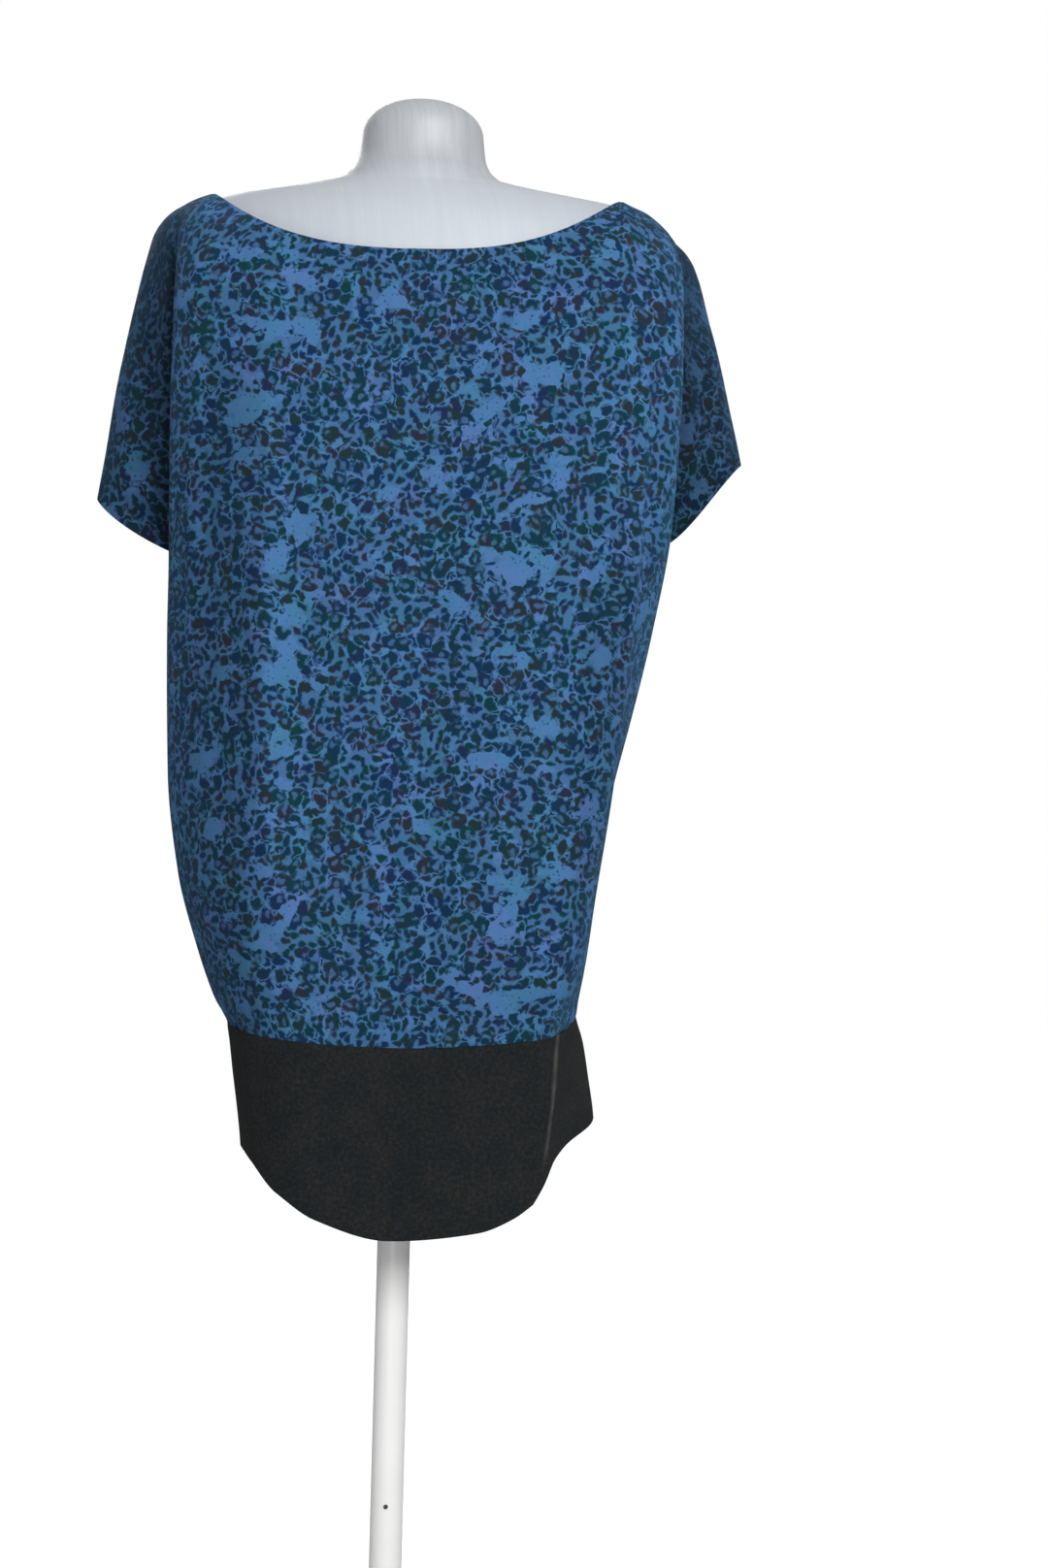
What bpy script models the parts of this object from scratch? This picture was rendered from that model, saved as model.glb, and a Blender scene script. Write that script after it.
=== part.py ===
"""A tunic tee with a boat neck, grown-on sleeves and a curved hem band, on a limbless dress form.

Metres, +Z up. The floor is z = 0, the pole stands on the Z axis, and the garment's back faces -Y.
"""

import math

import bmesh
import bpy
import numpy as np

# Cloth
WALL = 0.002
GAP = 0.0003

# The garment's own sizes
NECK_BACK_LOW = 1.3515
NECK_FRONT_LOW = 1.332
NECK_CURVE = 2.9
CREST_RISE = 0.0085
SHOULDER_ROUND = 0.112
UNDERARM_LEFT = 1.115
UNDERARM_RIGHT = 1.135
SLEEVE_HEAD = 0.010
CUFF_SAG_LEFT = 0.0075
CUFF_SAG_RIGHT = 0.024
CUFF_FRONT_LIFT = 0.010

# The half sleeve's curve from the side hollow out to its overarm fold: how strongly it leaves the
# hollow and reaches the fold, across and in depth, and how far it puffs out between them at the cuff
SLEEVE_LEAVES_DEEP = -0.20
SLEEVE_REACHES_OUT = 0.25
SLEEVE_REACHES_DEEP = -0.55
SLEEVE_PUFF = 0.026
SLEEVE_PUFF_POWER = 1.5
SLEEVE_HEAD_SHARE = 1 / 6

# How sharply a soft fold fades at its two ends
FOLD_FADE = 0.7

# Mesh
SEAM_ROUNDS = 20
NECK_CROWDING = 1.6
NECK_COLUMNS = 8
SIDE_COLUMNS = 4
YOKE_ROWS = 9
YOKE_CROWDING = 0.8
YOKE_CROWDS_FROM = 0.6
YOKE_CROWDS_TO = 1.1
BODY_ROWS = 12
BAND_ROWS = 5
SLEEVE_COLUMNS = 5
SHARE_STEPS = 400
ROUND = 32
FORM_STEP = 0.045
SHARP_ANGLE = math.radians(50)
MERGE = 1e-6

# The stand
FORM_BOTTOM = 0.840
NECK_DOME = 0.030
NECK_TOP = 1.498
POLE_RADIUS = 0.0135
BORE_CLEARANCE = 0.0004
BASE_BEVEL = 0.0015
BORE_FLOOR = 0.012
BOSS_TOP = 0.055
BOSS_RADIUS = 0.024
BOSS_BEVEL = 0.003
BOSS_FLARE = 0.004
SOCKET_FLANGE_RADIUS = 0.045
SOCKET_FLANGE = 0.006
SOCKET_RADIUS = 0.019
SOCKET_LENGTH = 0.050
SOCKET_ROOF = 0.010
BUTTON_HEIGHT = 0.344
BUTTON_RADIUS = 0.0018
BUTTON_CROWN = 0.7
BUTTON_STAND = 0.0012
BUTTON_SHOULDER = 0.6


def table(names, *rows):
    """A short table: one list of values for each named column."""
    return dict(zip(names.split(), np.array(rows, dtype=float).T))


# The shoulder and overarm seam, from the neck point out to the sleeve's tip.
OVERARM = {
    "left": table(
        "out height",
        (0.169, 1.4148),
        (0.184, 1.4104),
        (0.192, 1.4064),
        (0.201, 1.4015),
        (0.210, 1.3940),
        (0.2165, 1.3875),
        (0.2205, 1.3800),
        (0.2235, 1.3700),
        (0.2275, 1.3550),
        (0.233, 1.3300),
        (0.241, 1.2900),
        (0.248, 1.2520),
        (0.2545, 1.2050),
        (0.261, 1.1640),
    ),
    "right": table(
        "out height",
        (0.165, 1.4165),
        (0.174, 1.4125),
        (0.184, 1.4085),
        (0.193, 1.4025),
        (0.202, 1.3948),
        (0.2085, 1.3875),
        (0.218, 1.3790),
        (0.2255, 1.3690),
        (0.2315, 1.3550),
        (0.2385, 1.3300),
        (0.249, 1.2900),
        (0.259, 1.2500),
        (0.2655, 1.2250),
        (0.270, 1.2050),
    ),
}

# The hollow behind each side fold, which is the side seam below the underarm.
HOLLOW = {
    "left": table(
        "height out",
        (1.406, 0.196),
        (1.310, 0.190),
        (1.220, 0.184),
        (1.150, 0.181),
        (1.115, 0.182),
        (1.050, 0.184),
        (0.940, 0.182),
        (0.860, 0.175),
        (0.800, 0.158),
        (0.760, 0.145),
        (0.741, 0.1370),
        (0.700, 0.1315),
        (0.640, 0.1250),
        (0.560, 0.1210),
    ),
    "right": table(
        "height out",
        (1.390, 0.210),
        (1.340, 0.207),
        (1.250, 0.203),
        (1.190, 0.200),
        (1.135, 0.200),
        (1.063, 0.192),
        (0.985, 0.178),
        (0.907, 0.163),
        (0.867, 0.158),
        (0.788, 0.150),
        (0.754, 0.1445),
        (0.725, 0.1520),
        (0.700, 0.1565),
        (0.665, 0.1620),
        (0.560, 0.1680),
    ),
}

# Sections at each height. Out is away from x = 0 and deep is away from y = 0: the knuckle is where the
# flat of the panel turns, the fold is the outermost ridge, and the hollow lies behind it.
SECTIONS = {
    ("left", "back"): table(
        "height knuckle_out knuckle_deep fold_out fold_deep hollow_deep",
        (1.4155, 0.169, 0.106, 0.187, 0.084, 0.052),
        (1.310, 0.160, 0.106, 0.186, 0.084, 0.050),
        (1.220, 0.152, 0.107, 0.188, 0.081, 0.044),
        (1.150, 0.146, 0.109, 0.188, 0.077, 0.027),
        (1.115, 0.144, 0.110, 0.1875, 0.073, 0.000),
        (1.050, 0.142, 0.111, 0.1885, 0.066, 0.000),
        (0.940, 0.137, 0.111, 0.1865, 0.060, 0.000),
        (0.860, 0.127, 0.110, 0.177, 0.053, 0.000),
        (0.800, 0.112, 0.108, 0.161, 0.048, 0.000),
        (0.760, 0.101, 0.104, 0.1465, 0.045, 0.000),
        (0.741, 0.096, 0.102, 0.1365, 0.044, 0.000),
        (0.700, 0.092, 0.102, 0.1295, 0.047, 0.000),
        (0.640, 0.090, 0.103, 0.1215, 0.048, 0.000),
        (0.560, 0.088, 0.104, 0.1170, 0.048, 0.000),
    ),
    ("right", "back"): table(
        "height knuckle_out knuckle_deep fold_out fold_deep hollow_deep",
        (1.4165, 0.165, 0.104, 0.200, 0.080, 0.048),
        (1.388, 0.168, 0.104, 0.203, 0.080, 0.047),
        (1.346, 0.171, 0.104, 0.2125, 0.080, 0.046),
        (1.253, 0.175, 0.106, 0.214, 0.078, 0.044),
        (1.190, 0.174, 0.107, 0.2115, 0.076, 0.034),
        (1.135, 0.172, 0.107, 0.207, 0.070, 0.000),
        (1.063, 0.166, 0.108, 0.196, 0.060, 0.000),
        (0.985, 0.158, 0.108, 0.181, 0.052, 0.000),
        (0.907, 0.150, 0.106, 0.164, 0.046, 0.000),
        (0.867, 0.145, 0.105, 0.158, 0.043, 0.000),
        (0.788, 0.134, 0.101, 0.1495, 0.040, 0.000),
        (0.754, 0.121, 0.097, 0.143, 0.042, 0.000),
        (0.725, 0.117, 0.095, 0.139, 0.050, 0.000),
        (0.665, 0.114, 0.096, 0.140, 0.052, 0.000),
        (0.560, 0.113, 0.097, 0.142, 0.052, 0.000),
    ),
    ("left", "front"): table(
        "height knuckle_out knuckle_deep fold_out fold_deep hollow_deep",
        (1.4155, 0.169, 0.104, 0.187, 0.082, 0.050),
        (1.310, 0.156, 0.108, 0.184, 0.082, 0.048),
        (1.220, 0.148, 0.116, 0.184, 0.080, 0.042),
        (1.150, 0.144, 0.118, 0.184, 0.076, 0.026),
        (1.115, 0.142, 0.118, 0.184, 0.073, 0.000),
        (1.050, 0.138, 0.117, 0.185, 0.068, 0.000),
        (0.940, 0.132, 0.114, 0.183, 0.062, 0.000),
        (0.860, 0.122, 0.111, 0.173, 0.056, 0.000),
        (0.800, 0.110, 0.108, 0.157, 0.050, 0.000),
        (0.741, 0.096, 0.101, 0.1360, 0.046, 0.000),
        (0.700, 0.092, 0.101, 0.1290, 0.047, 0.000),
        (0.640, 0.090, 0.102, 0.1210, 0.048, 0.000),
        (0.560, 0.088, 0.103, 0.1165, 0.048, 0.000),
    ),
    ("right", "front"): table(
        "height knuckle_out knuckle_deep fold_out fold_deep hollow_deep",
        (1.4165, 0.165, 0.104, 0.200, 0.080, 0.048),
        (1.388, 0.165, 0.105, 0.202, 0.080, 0.047),
        (1.346, 0.164, 0.107, 0.209, 0.080, 0.046),
        (1.253, 0.162, 0.114, 0.210, 0.078, 0.042),
        (1.190, 0.160, 0.116, 0.207, 0.076, 0.032),
        (1.135, 0.157, 0.116, 0.203, 0.071, 0.000),
        (1.063, 0.152, 0.115, 0.194, 0.063, 0.000),
        (0.985, 0.144, 0.113, 0.179, 0.056, 0.000),
        (0.907, 0.136, 0.110, 0.165, 0.050, 0.000),
        (0.788, 0.118, 0.104, 0.149, 0.044, 0.000),
        (0.754, 0.108, 0.101, 0.142, 0.044, 0.000),
        (0.725, 0.105, 0.100, 0.141, 0.047, 0.000),
        (0.665, 0.102, 0.101, 0.143, 0.048, 0.000),
        (0.560, 0.101, 0.102, 0.146, 0.048, 0.000),
    ),
}

# How far the middle of each panel stands from y = 0.
MIDDLE = {
    "back": table(
        "height deep",
        (1.430, 0.112),
        (1.350, 0.113),
        (1.270, 0.1155),
        (1.170, 0.118),
        (1.050, 0.1195),
        (0.900, 0.118),
        (0.800, 0.114),
        (0.760, 0.1095),
        (0.735, 0.1070),
        (0.700, 0.1075),
        (0.580, 0.1115),
    ),
    "front": table(
        "height deep",
        (1.430, 0.112),
        (1.380, 0.114),
        (1.300, 0.124),
        (1.200, 0.135),
        (1.120, 0.136),
        (1.000, 0.131),
        (0.900, 0.127),
        (0.800, 0.119),
        (0.760, 0.1125),
        (0.735, 0.1085),
        (0.700, 0.1080),
        (0.580, 0.1110),
    ),
}

# The band's seam and its curved hem, by the column that they cross: 1 is the knuckle, 2 the fold and
# 3 the side seam, with the left side's columns below zero.
BAND_SEAM = {
    "back": table(
        "column height",
        (-3, 0.7410),
        (-2, 0.7400),
        (-1, 0.7350),
        (0, 0.7305),
        (1, 0.7390),
        (2, 0.7470),
        (3, 0.7530),
    ),
    "front": table(
        "column height",
        (-3, 0.7410),
        (-2, 0.7395),
        (-1, 0.7360),
        (0, 0.7330),
        (1, 0.7390),
        (2, 0.7465),
        (3, 0.7530),
    ),
}
HEM = {
    "back": table(
        "column height",
        (-3, 0.6420),
        (-2, 0.6400),
        (-1.5, 0.6345),
        (-1, 0.6165),
        (-0.6, 0.5965),
        (0, 0.5815),
        (0.6, 0.5875),
        (1, 0.6085),
        (1.25, 0.6250),
        (1.5, 0.6410),
        (2, 0.6510),
        (3, 0.6650),
    ),
    "front": table(
        "column height",
        (-3, 0.6420),
        (-2, 0.6370),
        (-1.5, 0.6280),
        (-1, 0.6150),
        (-0.6, 0.5980),
        (0, 0.5850),
        (0.6, 0.5930),
        (1, 0.6100),
        (1.5, 0.6330),
        (2, 0.6500),
        (3, 0.6650),
    ),
}

# The largest soft folds, straight from top to foot; raise is how far each stands out, or in below zero.
FOLDS = {
    "back": table(
        "top_x top_z foot_x foot_z width raise",
        (-0.128, 1.290, -0.086, 0.790, 0.017, 0.0040),
        (-0.094, 1.260, -0.052, 0.800, 0.018, -0.0030),
        (-0.030, 1.220, -0.016, 0.780, 0.022, 0.0025),
        (0.030, 1.240, 0.026, 0.800, 0.020, -0.0020),
        (0.176, 1.300, 0.124, 0.765, 0.013, 0.0045),
        (0.148, 1.250, 0.100, 0.780, 0.016, -0.0030),
    ),
    "front": table(
        "top_x top_z foot_x foot_z width raise",
        (-0.120, 1.240, -0.088, 0.790, 0.018, 0.0040),
        (-0.080, 1.140, -0.058, 0.800, 0.020, -0.0040),
        (0.000, 1.120, 0.006, 0.780, 0.024, -0.0040),
        (0.084, 1.160, 0.062, 0.790, 0.019, -0.0035),
        (0.132, 1.260, 0.100, 0.780, 0.016, 0.0045),
    ),
}

# The dress form, from the neck down.
FORM = table(
    "height half_width back front power",
    (1.468, 0.0500, 0.0470, 0.0550, 2.00),
    (1.449, 0.0525, 0.0495, 0.0560, 2.00),
    (1.439, 0.0570, 0.0530, 0.0585, 2.00),
    (1.433, 0.0630, 0.0570, 0.0610, 1.95),
    (1.4285, 0.0695, 0.0590, 0.0625, 1.88),
    (1.4255, 0.0790, 0.0605, 0.0640, 1.78),
    (1.4225, 0.1000, 0.0620, 0.0650, 1.62),
    (1.4195, 0.1230, 0.0635, 0.0665, 1.52),
    (1.4160, 0.1500, 0.0660, 0.0690, 1.48),
    (1.413, 0.1665, 0.0690, 0.0720, 1.52),
    (1.408, 0.1775, 0.0725, 0.0750, 1.60),
    (1.402, 0.1850, 0.0770, 0.0785, 1.72),
    (1.394, 0.1900, 0.0820, 0.0825, 1.88),
    (1.380, 0.1930, 0.0880, 0.0880, 2.12),
    (1.350, 0.1900, 0.0965, 0.0940, 2.28),
    (1.300, 0.1770, 0.1015, 0.1040, 2.38),
    (1.250, 0.1660, 0.1010, 0.1150, 2.40),
    (1.190, 0.1570, 0.0950, 0.1230, 2.35),
    (1.130, 0.1390, 0.0850, 0.1110, 2.25),
    (1.070, 0.1200, 0.0780, 0.0930, 2.15),
    (1.000, 0.1330, 0.0860, 0.0900, 2.20),
    (0.920, 0.1460, 0.0970, 0.0940, 2.30),
    (0.840, 0.1430, 0.0950, 0.0920, 2.30),
)
FORM_DOME_STEPS = 5

# The foot's upper side, from under the boss out to the rim.
BASE = table(
    "radius height",
    (0.040, 0.0190),
    (0.100, 0.0160),
    (0.145, 0.0125),
    (0.161, 0.0095),
    (0.168, 0.0065),
    (0.170, 0.0035),
)

# Looks, as red, green, blue, roughness and metallic value.
PRINT_CLOTH = (0.030, 0.075, 0.190, 0.90, 0.0)
BAND_CLOTH = (0.018, 0.018, 0.019, 0.92, 0.0)
SILVER_CLOTH = (0.420, 0.430, 0.440, 0.42, 0.55)
WHITE_PAINT = (0.840, 0.840, 0.830, 0.30, 0.0)
DARK_METAL = (0.050, 0.050, 0.055, 0.35, 0.8)


def hermite(start, end, lean_start, lean_end, t):
    """The cubic that leaves start with one lean and reaches end with the other."""
    return (
        (2 * t**3 - 3 * t**2 + 1) * start
        + (t**3 - 2 * t**2 + t) * lean_start
        + (3 * t**2 - 2 * t**3) * end
        + (t**3 - t**2) * lean_end
    )


def smooth(x, xs, ys):
    """A smooth curve through the points xs, ys, read at x. It never swings past them."""
    order = np.argsort(xs)
    xs = xs[order]
    ys = ys[order]
    step = np.diff(xs)
    slope = np.diff(ys) / step
    both = slope[:-1] * slope[1:]
    turning = both <= 0
    inner = np.where(turning, 0.0, 2 * both / np.where(turning, 1.0, slope[:-1] + slope[1:]))
    lean = np.concatenate(([slope[0]], inner, [slope[-1]]))
    x = np.clip(x, xs[0], xs[-1])
    i = np.clip(np.searchsorted(xs, x, side="right") - 1, 0, len(step) - 1)
    t = (x - xs[i]) / step[i]
    return hermite(ys[i], ys[i + 1], lean[i] * step[i], lean[i + 1] * step[i], t)


def read(rows, name, height):
    return smooth(height, rows["height"], rows[name])


def unit(x, y):
    size = np.maximum(np.hypot(x, y), 1e-9)
    return x / size, y / size


def seam_height(side, out):
    """How high the shoulder line is at this distance from the middle, under the neck too."""
    line = OVERARM[side]
    point = line["out"][0]
    crest = line["height"][0] + CREST_RISE * (1 - (out / point) ** 2)
    return np.where(out < point, crest, smooth(out, line["out"], line["height"]))


def seam_out(side, share):
    """How far out the overarm seam is after this share of its length."""
    line = OVERARM[side]
    length = np.concatenate(([0], np.cumsum(np.hypot(np.diff(line["out"]), np.diff(line["height"])))))
    return smooth(share * length[-1], length, line["out"])


def seam_share(side, out):
    """The share of the overarm seam's length that lies inside this distance."""
    shares = np.linspace(0, 1, SHARE_STEPS)
    return np.interp(out, seam_out(side, shares), shares)


def shoulder_round(side, out, height):
    """0 on the shoulder line, and 1 where the cloth hangs straight down from it."""
    below = np.clip((seam_height(side, out) - height) / SHOULDER_ROUND, 0, 1)
    return np.sqrt(1 - (1 - below) ** 2)


def section(side, face, column, height):
    """The point of a quarter of the section: out from x = 0 and deep from y = 0."""
    rows = SECTIONS[side, face]
    zero = np.zeros_like(height)
    nodes = [
        (zero, read(MIDDLE[face], "deep", height)),
        (read(rows, "knuckle_out", height), read(rows, "knuckle_deep", height)),
        (read(rows, "fold_out", height), read(rows, "fold_deep", height)),
        (read(HOLLOW[side], "out", height), read(rows, "hollow_deep", height)),
    ]
    chords = [unit(b[0] - a[0], b[1] - a[1]) for a, b in zip(nodes, nodes[1:])]
    leans = [
        (zero + 1, zero),
        unit(chords[0][0] + chords[1][0], chords[0][1] + chords[1][1]),
        unit(chords[1][0] + chords[2][0], chords[1][1] + chords[2][1]),
        (zero, zero - 1),
    ]
    out = zero
    deep = zero
    for i in range(3):
        start = nodes[i]
        end = nodes[i + 1]
        length = np.hypot(end[0] - start[0], end[1] - start[1])
        t = np.clip(column - i, 0, 1)
        here = (column >= i) & ((column <= i + 1) | (i == 2))
        piece = [hermite(start[k], end[k], leans[i][k] * length, leans[i + 1][k] * length, t) for k in (0, 1)]
        out = np.where(here, piece[0], out)
        deep = np.where(here, piece[1], deep)
    return out, deep


def fold_raise(face, x, height):
    """How far the soft folds lift the cloth here."""
    total = np.zeros_like(x)
    rows = FOLDS[face]
    for i in range(len(rows["width"])):
        top = rows["top_z"][i]
        foot = rows["foot_z"][i]
        along = (top - height) / (top - foot)
        line = rows["top_x"][i] + along * (rows["foot_x"][i] - rows["top_x"][i])
        fade = np.sin(math.pi * np.clip(along, 0, 1)) ** FOLD_FADE
        total += rows["raise"][i] * fade * np.exp(-(((x - line) / rows["width"][i]) ** 2))
    return total


def cloth(face, column, height):
    """Points of the tube, from its column, which is below zero on the left, and its height."""
    points = np.zeros(column.shape + (3,))
    for side, sign in (("left", -1), ("right", 1)):
        out, deep = section(side, face, np.abs(column), height)
        deep = deep * shoulder_round(side, out, height) + fold_raise(face, sign * out, height)
        here = column * sign >= 0
        for axis, value in enumerate((sign * out, deep, height)):
            points[..., axis] = np.where(here, value, points[..., axis])
    points[..., 1] = (points[..., 1] + GAP / 2) * (-1 if face == "back" else 1)
    return points


def top_height(face, column):
    """The neckline between the neck points, and the shoulder seam outside them."""
    low = NECK_BACK_LOW if face == "back" else NECK_FRONT_LOW
    size = np.abs(column)
    height = np.zeros_like(column)
    for side, sign in (("left", -1), ("right", 1)):
        point = OVERARM[side]["height"][0]
        neck = low + (point - low) * np.clip(size, 0, 1) ** NECK_CURVE
        seam = np.full_like(column, point)
        for _ in range(SEAM_ROUNDS):
            seam = seam_height(side, section(side, face, np.clip(size, 1, 3), seam)[0])
        here = column * sign >= 0
        height = np.where(here, np.where(size < 1, neck, seam), height)
    return height


def underarm_height(column):
    middle = (UNDERARM_LEFT + UNDERARM_RIGHT) / 2
    return middle + (UNDERARM_RIGHT - middle) * np.sin(column / 3 * math.pi / 2)


def yoke_share(column, row):
    """Rows crowd towards a shoulder seam, where the cloth turns over."""
    near = (np.abs(column) - YOKE_CROWDS_FROM) / (YOKE_CROWDS_TO - YOKE_CROWDS_FROM)
    return row ** (1 + YOKE_CROWDING * np.clip(near, 0, 1))


def sleeve(side, face, hollow, row, column):
    """Points of half a sleeve, from the hollow out to the overarm seam. Row 1 is its hem."""
    sign = -1 if side == "left" else 1
    first = seam_share(side, HOLLOW[side]["out"][0] + SLEEVE_HEAD)
    edge = seam_out(side, first + (1 - first) * row)
    edge_height = seam_height(side, edge)
    out = np.abs(hollow[..., 0])
    deep = np.abs(hollow[..., 1]) - GAP / 2
    reach = edge - out
    lean = reach * shoulder_round(side, out, hollow[..., 2])
    bow = np.sin(math.pi * column)
    x = hermite(out, edge, reach, SLEEVE_REACHES_OUT * reach, column)
    y = hermite(deep, 0, SLEEVE_LEAVES_DEEP * lean, SLEEVE_REACHES_DEEP * lean, column)
    y = y + SLEEVE_PUFF * row**SLEEVE_PUFF_POWER * bow
    z = hollow[..., 2] + (edge_height - hollow[..., 2]) * (x - out) / reach
    z = z + (seam_height(side, x) - z) * np.clip(1 - row / SLEEVE_HEAD_SHARE, 0, 1)
    sag = CUFF_SAG_LEFT * bow if side == "left" else CUFF_SAG_RIGHT * bow * (1 - column) ** 2
    lift = CUFF_FRONT_LIFT * bow if face == "front" else 0
    z = z + (lift - sag) * row**2
    y = (y + GAP / 2) * (-1 if face == "back" else 1)
    return np.stack((sign * x, y, z), axis=-1)


def spaced(neck, side):
    """Columns from side seam to side seam. They crowd towards the neck points, where the edge is steep."""
    inner = 1 - (1 - np.arange(neck) / neck) ** NECK_CROWDING
    outer = 1 + 2 * np.arange(2 * side + 1) / (2 * side)
    right = np.concatenate((inner, outer))
    return np.concatenate((-right[:0:-1], right))


def material(name, look):
    made = bpy.data.materials.new(name)
    made.use_nodes = True
    shader = made.node_tree.nodes["Principled BSDF"]
    shader.inputs["Base Color"].default_value = (*look[:3], 1)
    shader.inputs["Roughness"].default_value = look[3]
    shader.inputs["Metallic"].default_value = look[4]
    made.diffuse_color = (*look[:3], 1)
    return made


def finish_object(name, mesh_builder, look, parent):
    """Turns the builder's faces outward and makes the object."""
    bmesh.ops.recalc_face_normals(mesh_builder, faces=mesh_builder.faces)
    mesh = bpy.data.meshes.new(name)
    mesh_builder.to_mesh(mesh)
    mesh_builder.free()
    mesh.materials.append(look)
    mesh.shade_smooth()
    mesh.set_sharp_from_angle(angle=SHARP_ANGLE)
    made = bpy.data.objects.new(name, mesh)
    made.parent = parent
    bpy.context.scene.collection.objects.link(made)
    return made


class Wall:
    """A wall of cloth: outer points in grids that share edges, thickened inward."""

    def __init__(self, outward):
        self.outward = outward
        self.points = []
        self.keep = []
        self.quads = []

    def add_grid(self, points, keep, first_column=None):
        """Adds a grid of points and returns its numbers. Its first column may be an earlier grid's."""
        rows, columns = points.shape[:2]
        numbers = np.zeros((rows, columns), dtype=int)
        for j in range(rows):
            for i in range(columns):
                if i == 0 and first_column is not None:
                    numbers[j, i] = first_column[j]
                    continue
                numbers[j, i] = len(self.points)
                self.points.append(points[j, i])
                self.keep.append(keep[j, i])
        for j in range(rows - 1):
            for i in range(columns - 1):
                self.quads.append(
                    (numbers[j, i], numbers[j, i + 1], numbers[j + 1, i + 1], numbers[j + 1, i])
                )
        return numbers

    def build(self, name, look, parent):
        """Keep holds 0 for each axis in which an edge's thickness may not move, so that seams stay flat."""
        builder = bmesh.new()
        outer = [builder.verts.new(p) for p in self.points]
        for quad in self.quads:
            builder.faces.new([outer[n] for n in quad])
        builder.normal_update()
        lean = sum(face.normal.dot(self.outward) for face in builder.faces)
        turn = 1 if lean > 0 else -1
        inner = []
        for vert, keep in zip(outer, self.keep):
            direction = np.array(vert.normal) * turn * keep
            direction /= np.linalg.norm(direction)
            inner.append(builder.verts.new(np.array(vert.co) - WALL * direction))
        rim = [edge for edge in builder.edges if len(edge.link_faces) == 1]
        number = {vert: n for n, vert in enumerate(outer)}
        rim = [(number[edge.verts[0]], number[edge.verts[1]]) for edge in rim]
        for quad in self.quads:
            builder.faces.new([inner[n] for n in reversed(quad)])
        for a, b in rim:
            builder.faces.new((outer[a], outer[b], inner[b], inner[a]))
        return finish_object(name, builder, look, parent)


FREE = np.array((1.0, 1.0, 1.0))
SIDE_SEAM = np.array((1.0, 0.0, 1.0))
LEVEL_SEAM = np.array((1.0, 1.0, 0.0))


def panel(face, look, parent):
    """Back or front, with its two half sleeves."""
    column = spaced(NECK_COLUMNS, SIDE_COLUMNS)
    upper = np.linspace(0, 1, YOKE_ROWS + 1)
    lower = np.linspace(0, 1, BODY_ROWS + 1)[1:]
    top = top_height(face, column)
    middle = underarm_height(column)
    foot = smooth(column, BAND_SEAM[face]["column"], BAND_SEAM[face]["height"]) + GAP / 2
    height = [top - (top - middle) * yoke_share(column, v) for v in upper]
    height += [middle - (middle - foot) * v for v in lower]
    height = np.array(height)
    points = cloth(face, np.broadcast_to(column, height.shape), height)
    keep = np.tile(FREE, points.shape[:2] + (1,))
    keep[0, np.abs(column) >= 1] = SIDE_SEAM
    keep[YOKE_ROWS:, (0, -1)] = SIDE_SEAM
    keep[-1] *= LEVEL_SEAM
    points[YOKE_ROWS:, (0, -1), 1] = GAP / 2 * (-1 if face == "back" else 1)

    wall = Wall((0, -1 if face == "back" else 1, 0))
    numbers = wall.add_grid(points, keep)
    across = np.linspace(0, 1, SLEEVE_COLUMNS + 1)
    for side, last in (("left", 0), ("right", -1)):
        row, share = np.meshgrid(upper, across, indexing="ij")
        row = yoke_share(np.full_like(row, 3.0), row)
        hollow = np.repeat(points[: YOKE_ROWS + 1, last][:, None], SLEEVE_COLUMNS + 1, axis=1)
        grid = sleeve(side, face, hollow, row, share)
        keep = np.tile(FREE, grid.shape[:2] + (1,))
        keep[0] = SIDE_SEAM
        keep[:, -1] = SIDE_SEAM
        edge = numbers[: YOKE_ROWS + 1, last]
        start = len(wall.quads)
        wall.add_grid(grid, keep, edge)
        if side == "left":
            wall.quads[start:] = [quad[::-1] for quad in wall.quads[start:]]
    return wall.build(f"{face}_panel", look, parent)


def band(face, look, parent):
    """Half of the hem band, from the seam down to its curved edge."""
    column = spaced(NECK_COLUMNS, SIDE_COLUMNS)
    top = smooth(column, BAND_SEAM[face]["column"], BAND_SEAM[face]["height"]) - GAP / 2
    foot = smooth(column, HEM[face]["column"], HEM[face]["height"])
    row = np.linspace(0, 1, BAND_ROWS + 1)[:, None]
    height = top - (top - foot) * row
    points = cloth(face, np.broadcast_to(column, height.shape), height)
    keep = np.tile(FREE, points.shape[:2] + (1,))
    keep[:, (0, -1)] = SIDE_SEAM
    keep[0] *= LEVEL_SEAM
    points[:, (0, -1), 1] = GAP / 2 * (-1 if face == "back" else 1)
    wall = Wall((0, -1 if face == "back" else 1, 0))
    wall.add_grid(points, keep)
    return wall.build(f"hem_band_{face}", look, parent)


def form_ring(half_width, back, front, power, height):
    """One section of the dress form: a rounded oval, deeper behind or in front."""
    ring = []
    for i in range(ROUND):
        angle = 2 * math.pi * i / ROUND
        c = math.cos(angle)
        s = math.sin(angle)
        x = half_width * math.copysign(abs(c) ** (2 / power), c)
        y = (front if s > 0 else back) * math.copysign(abs(s) ** (2 / power), s)
        ring.append((x, y, height))
    return ring


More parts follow.
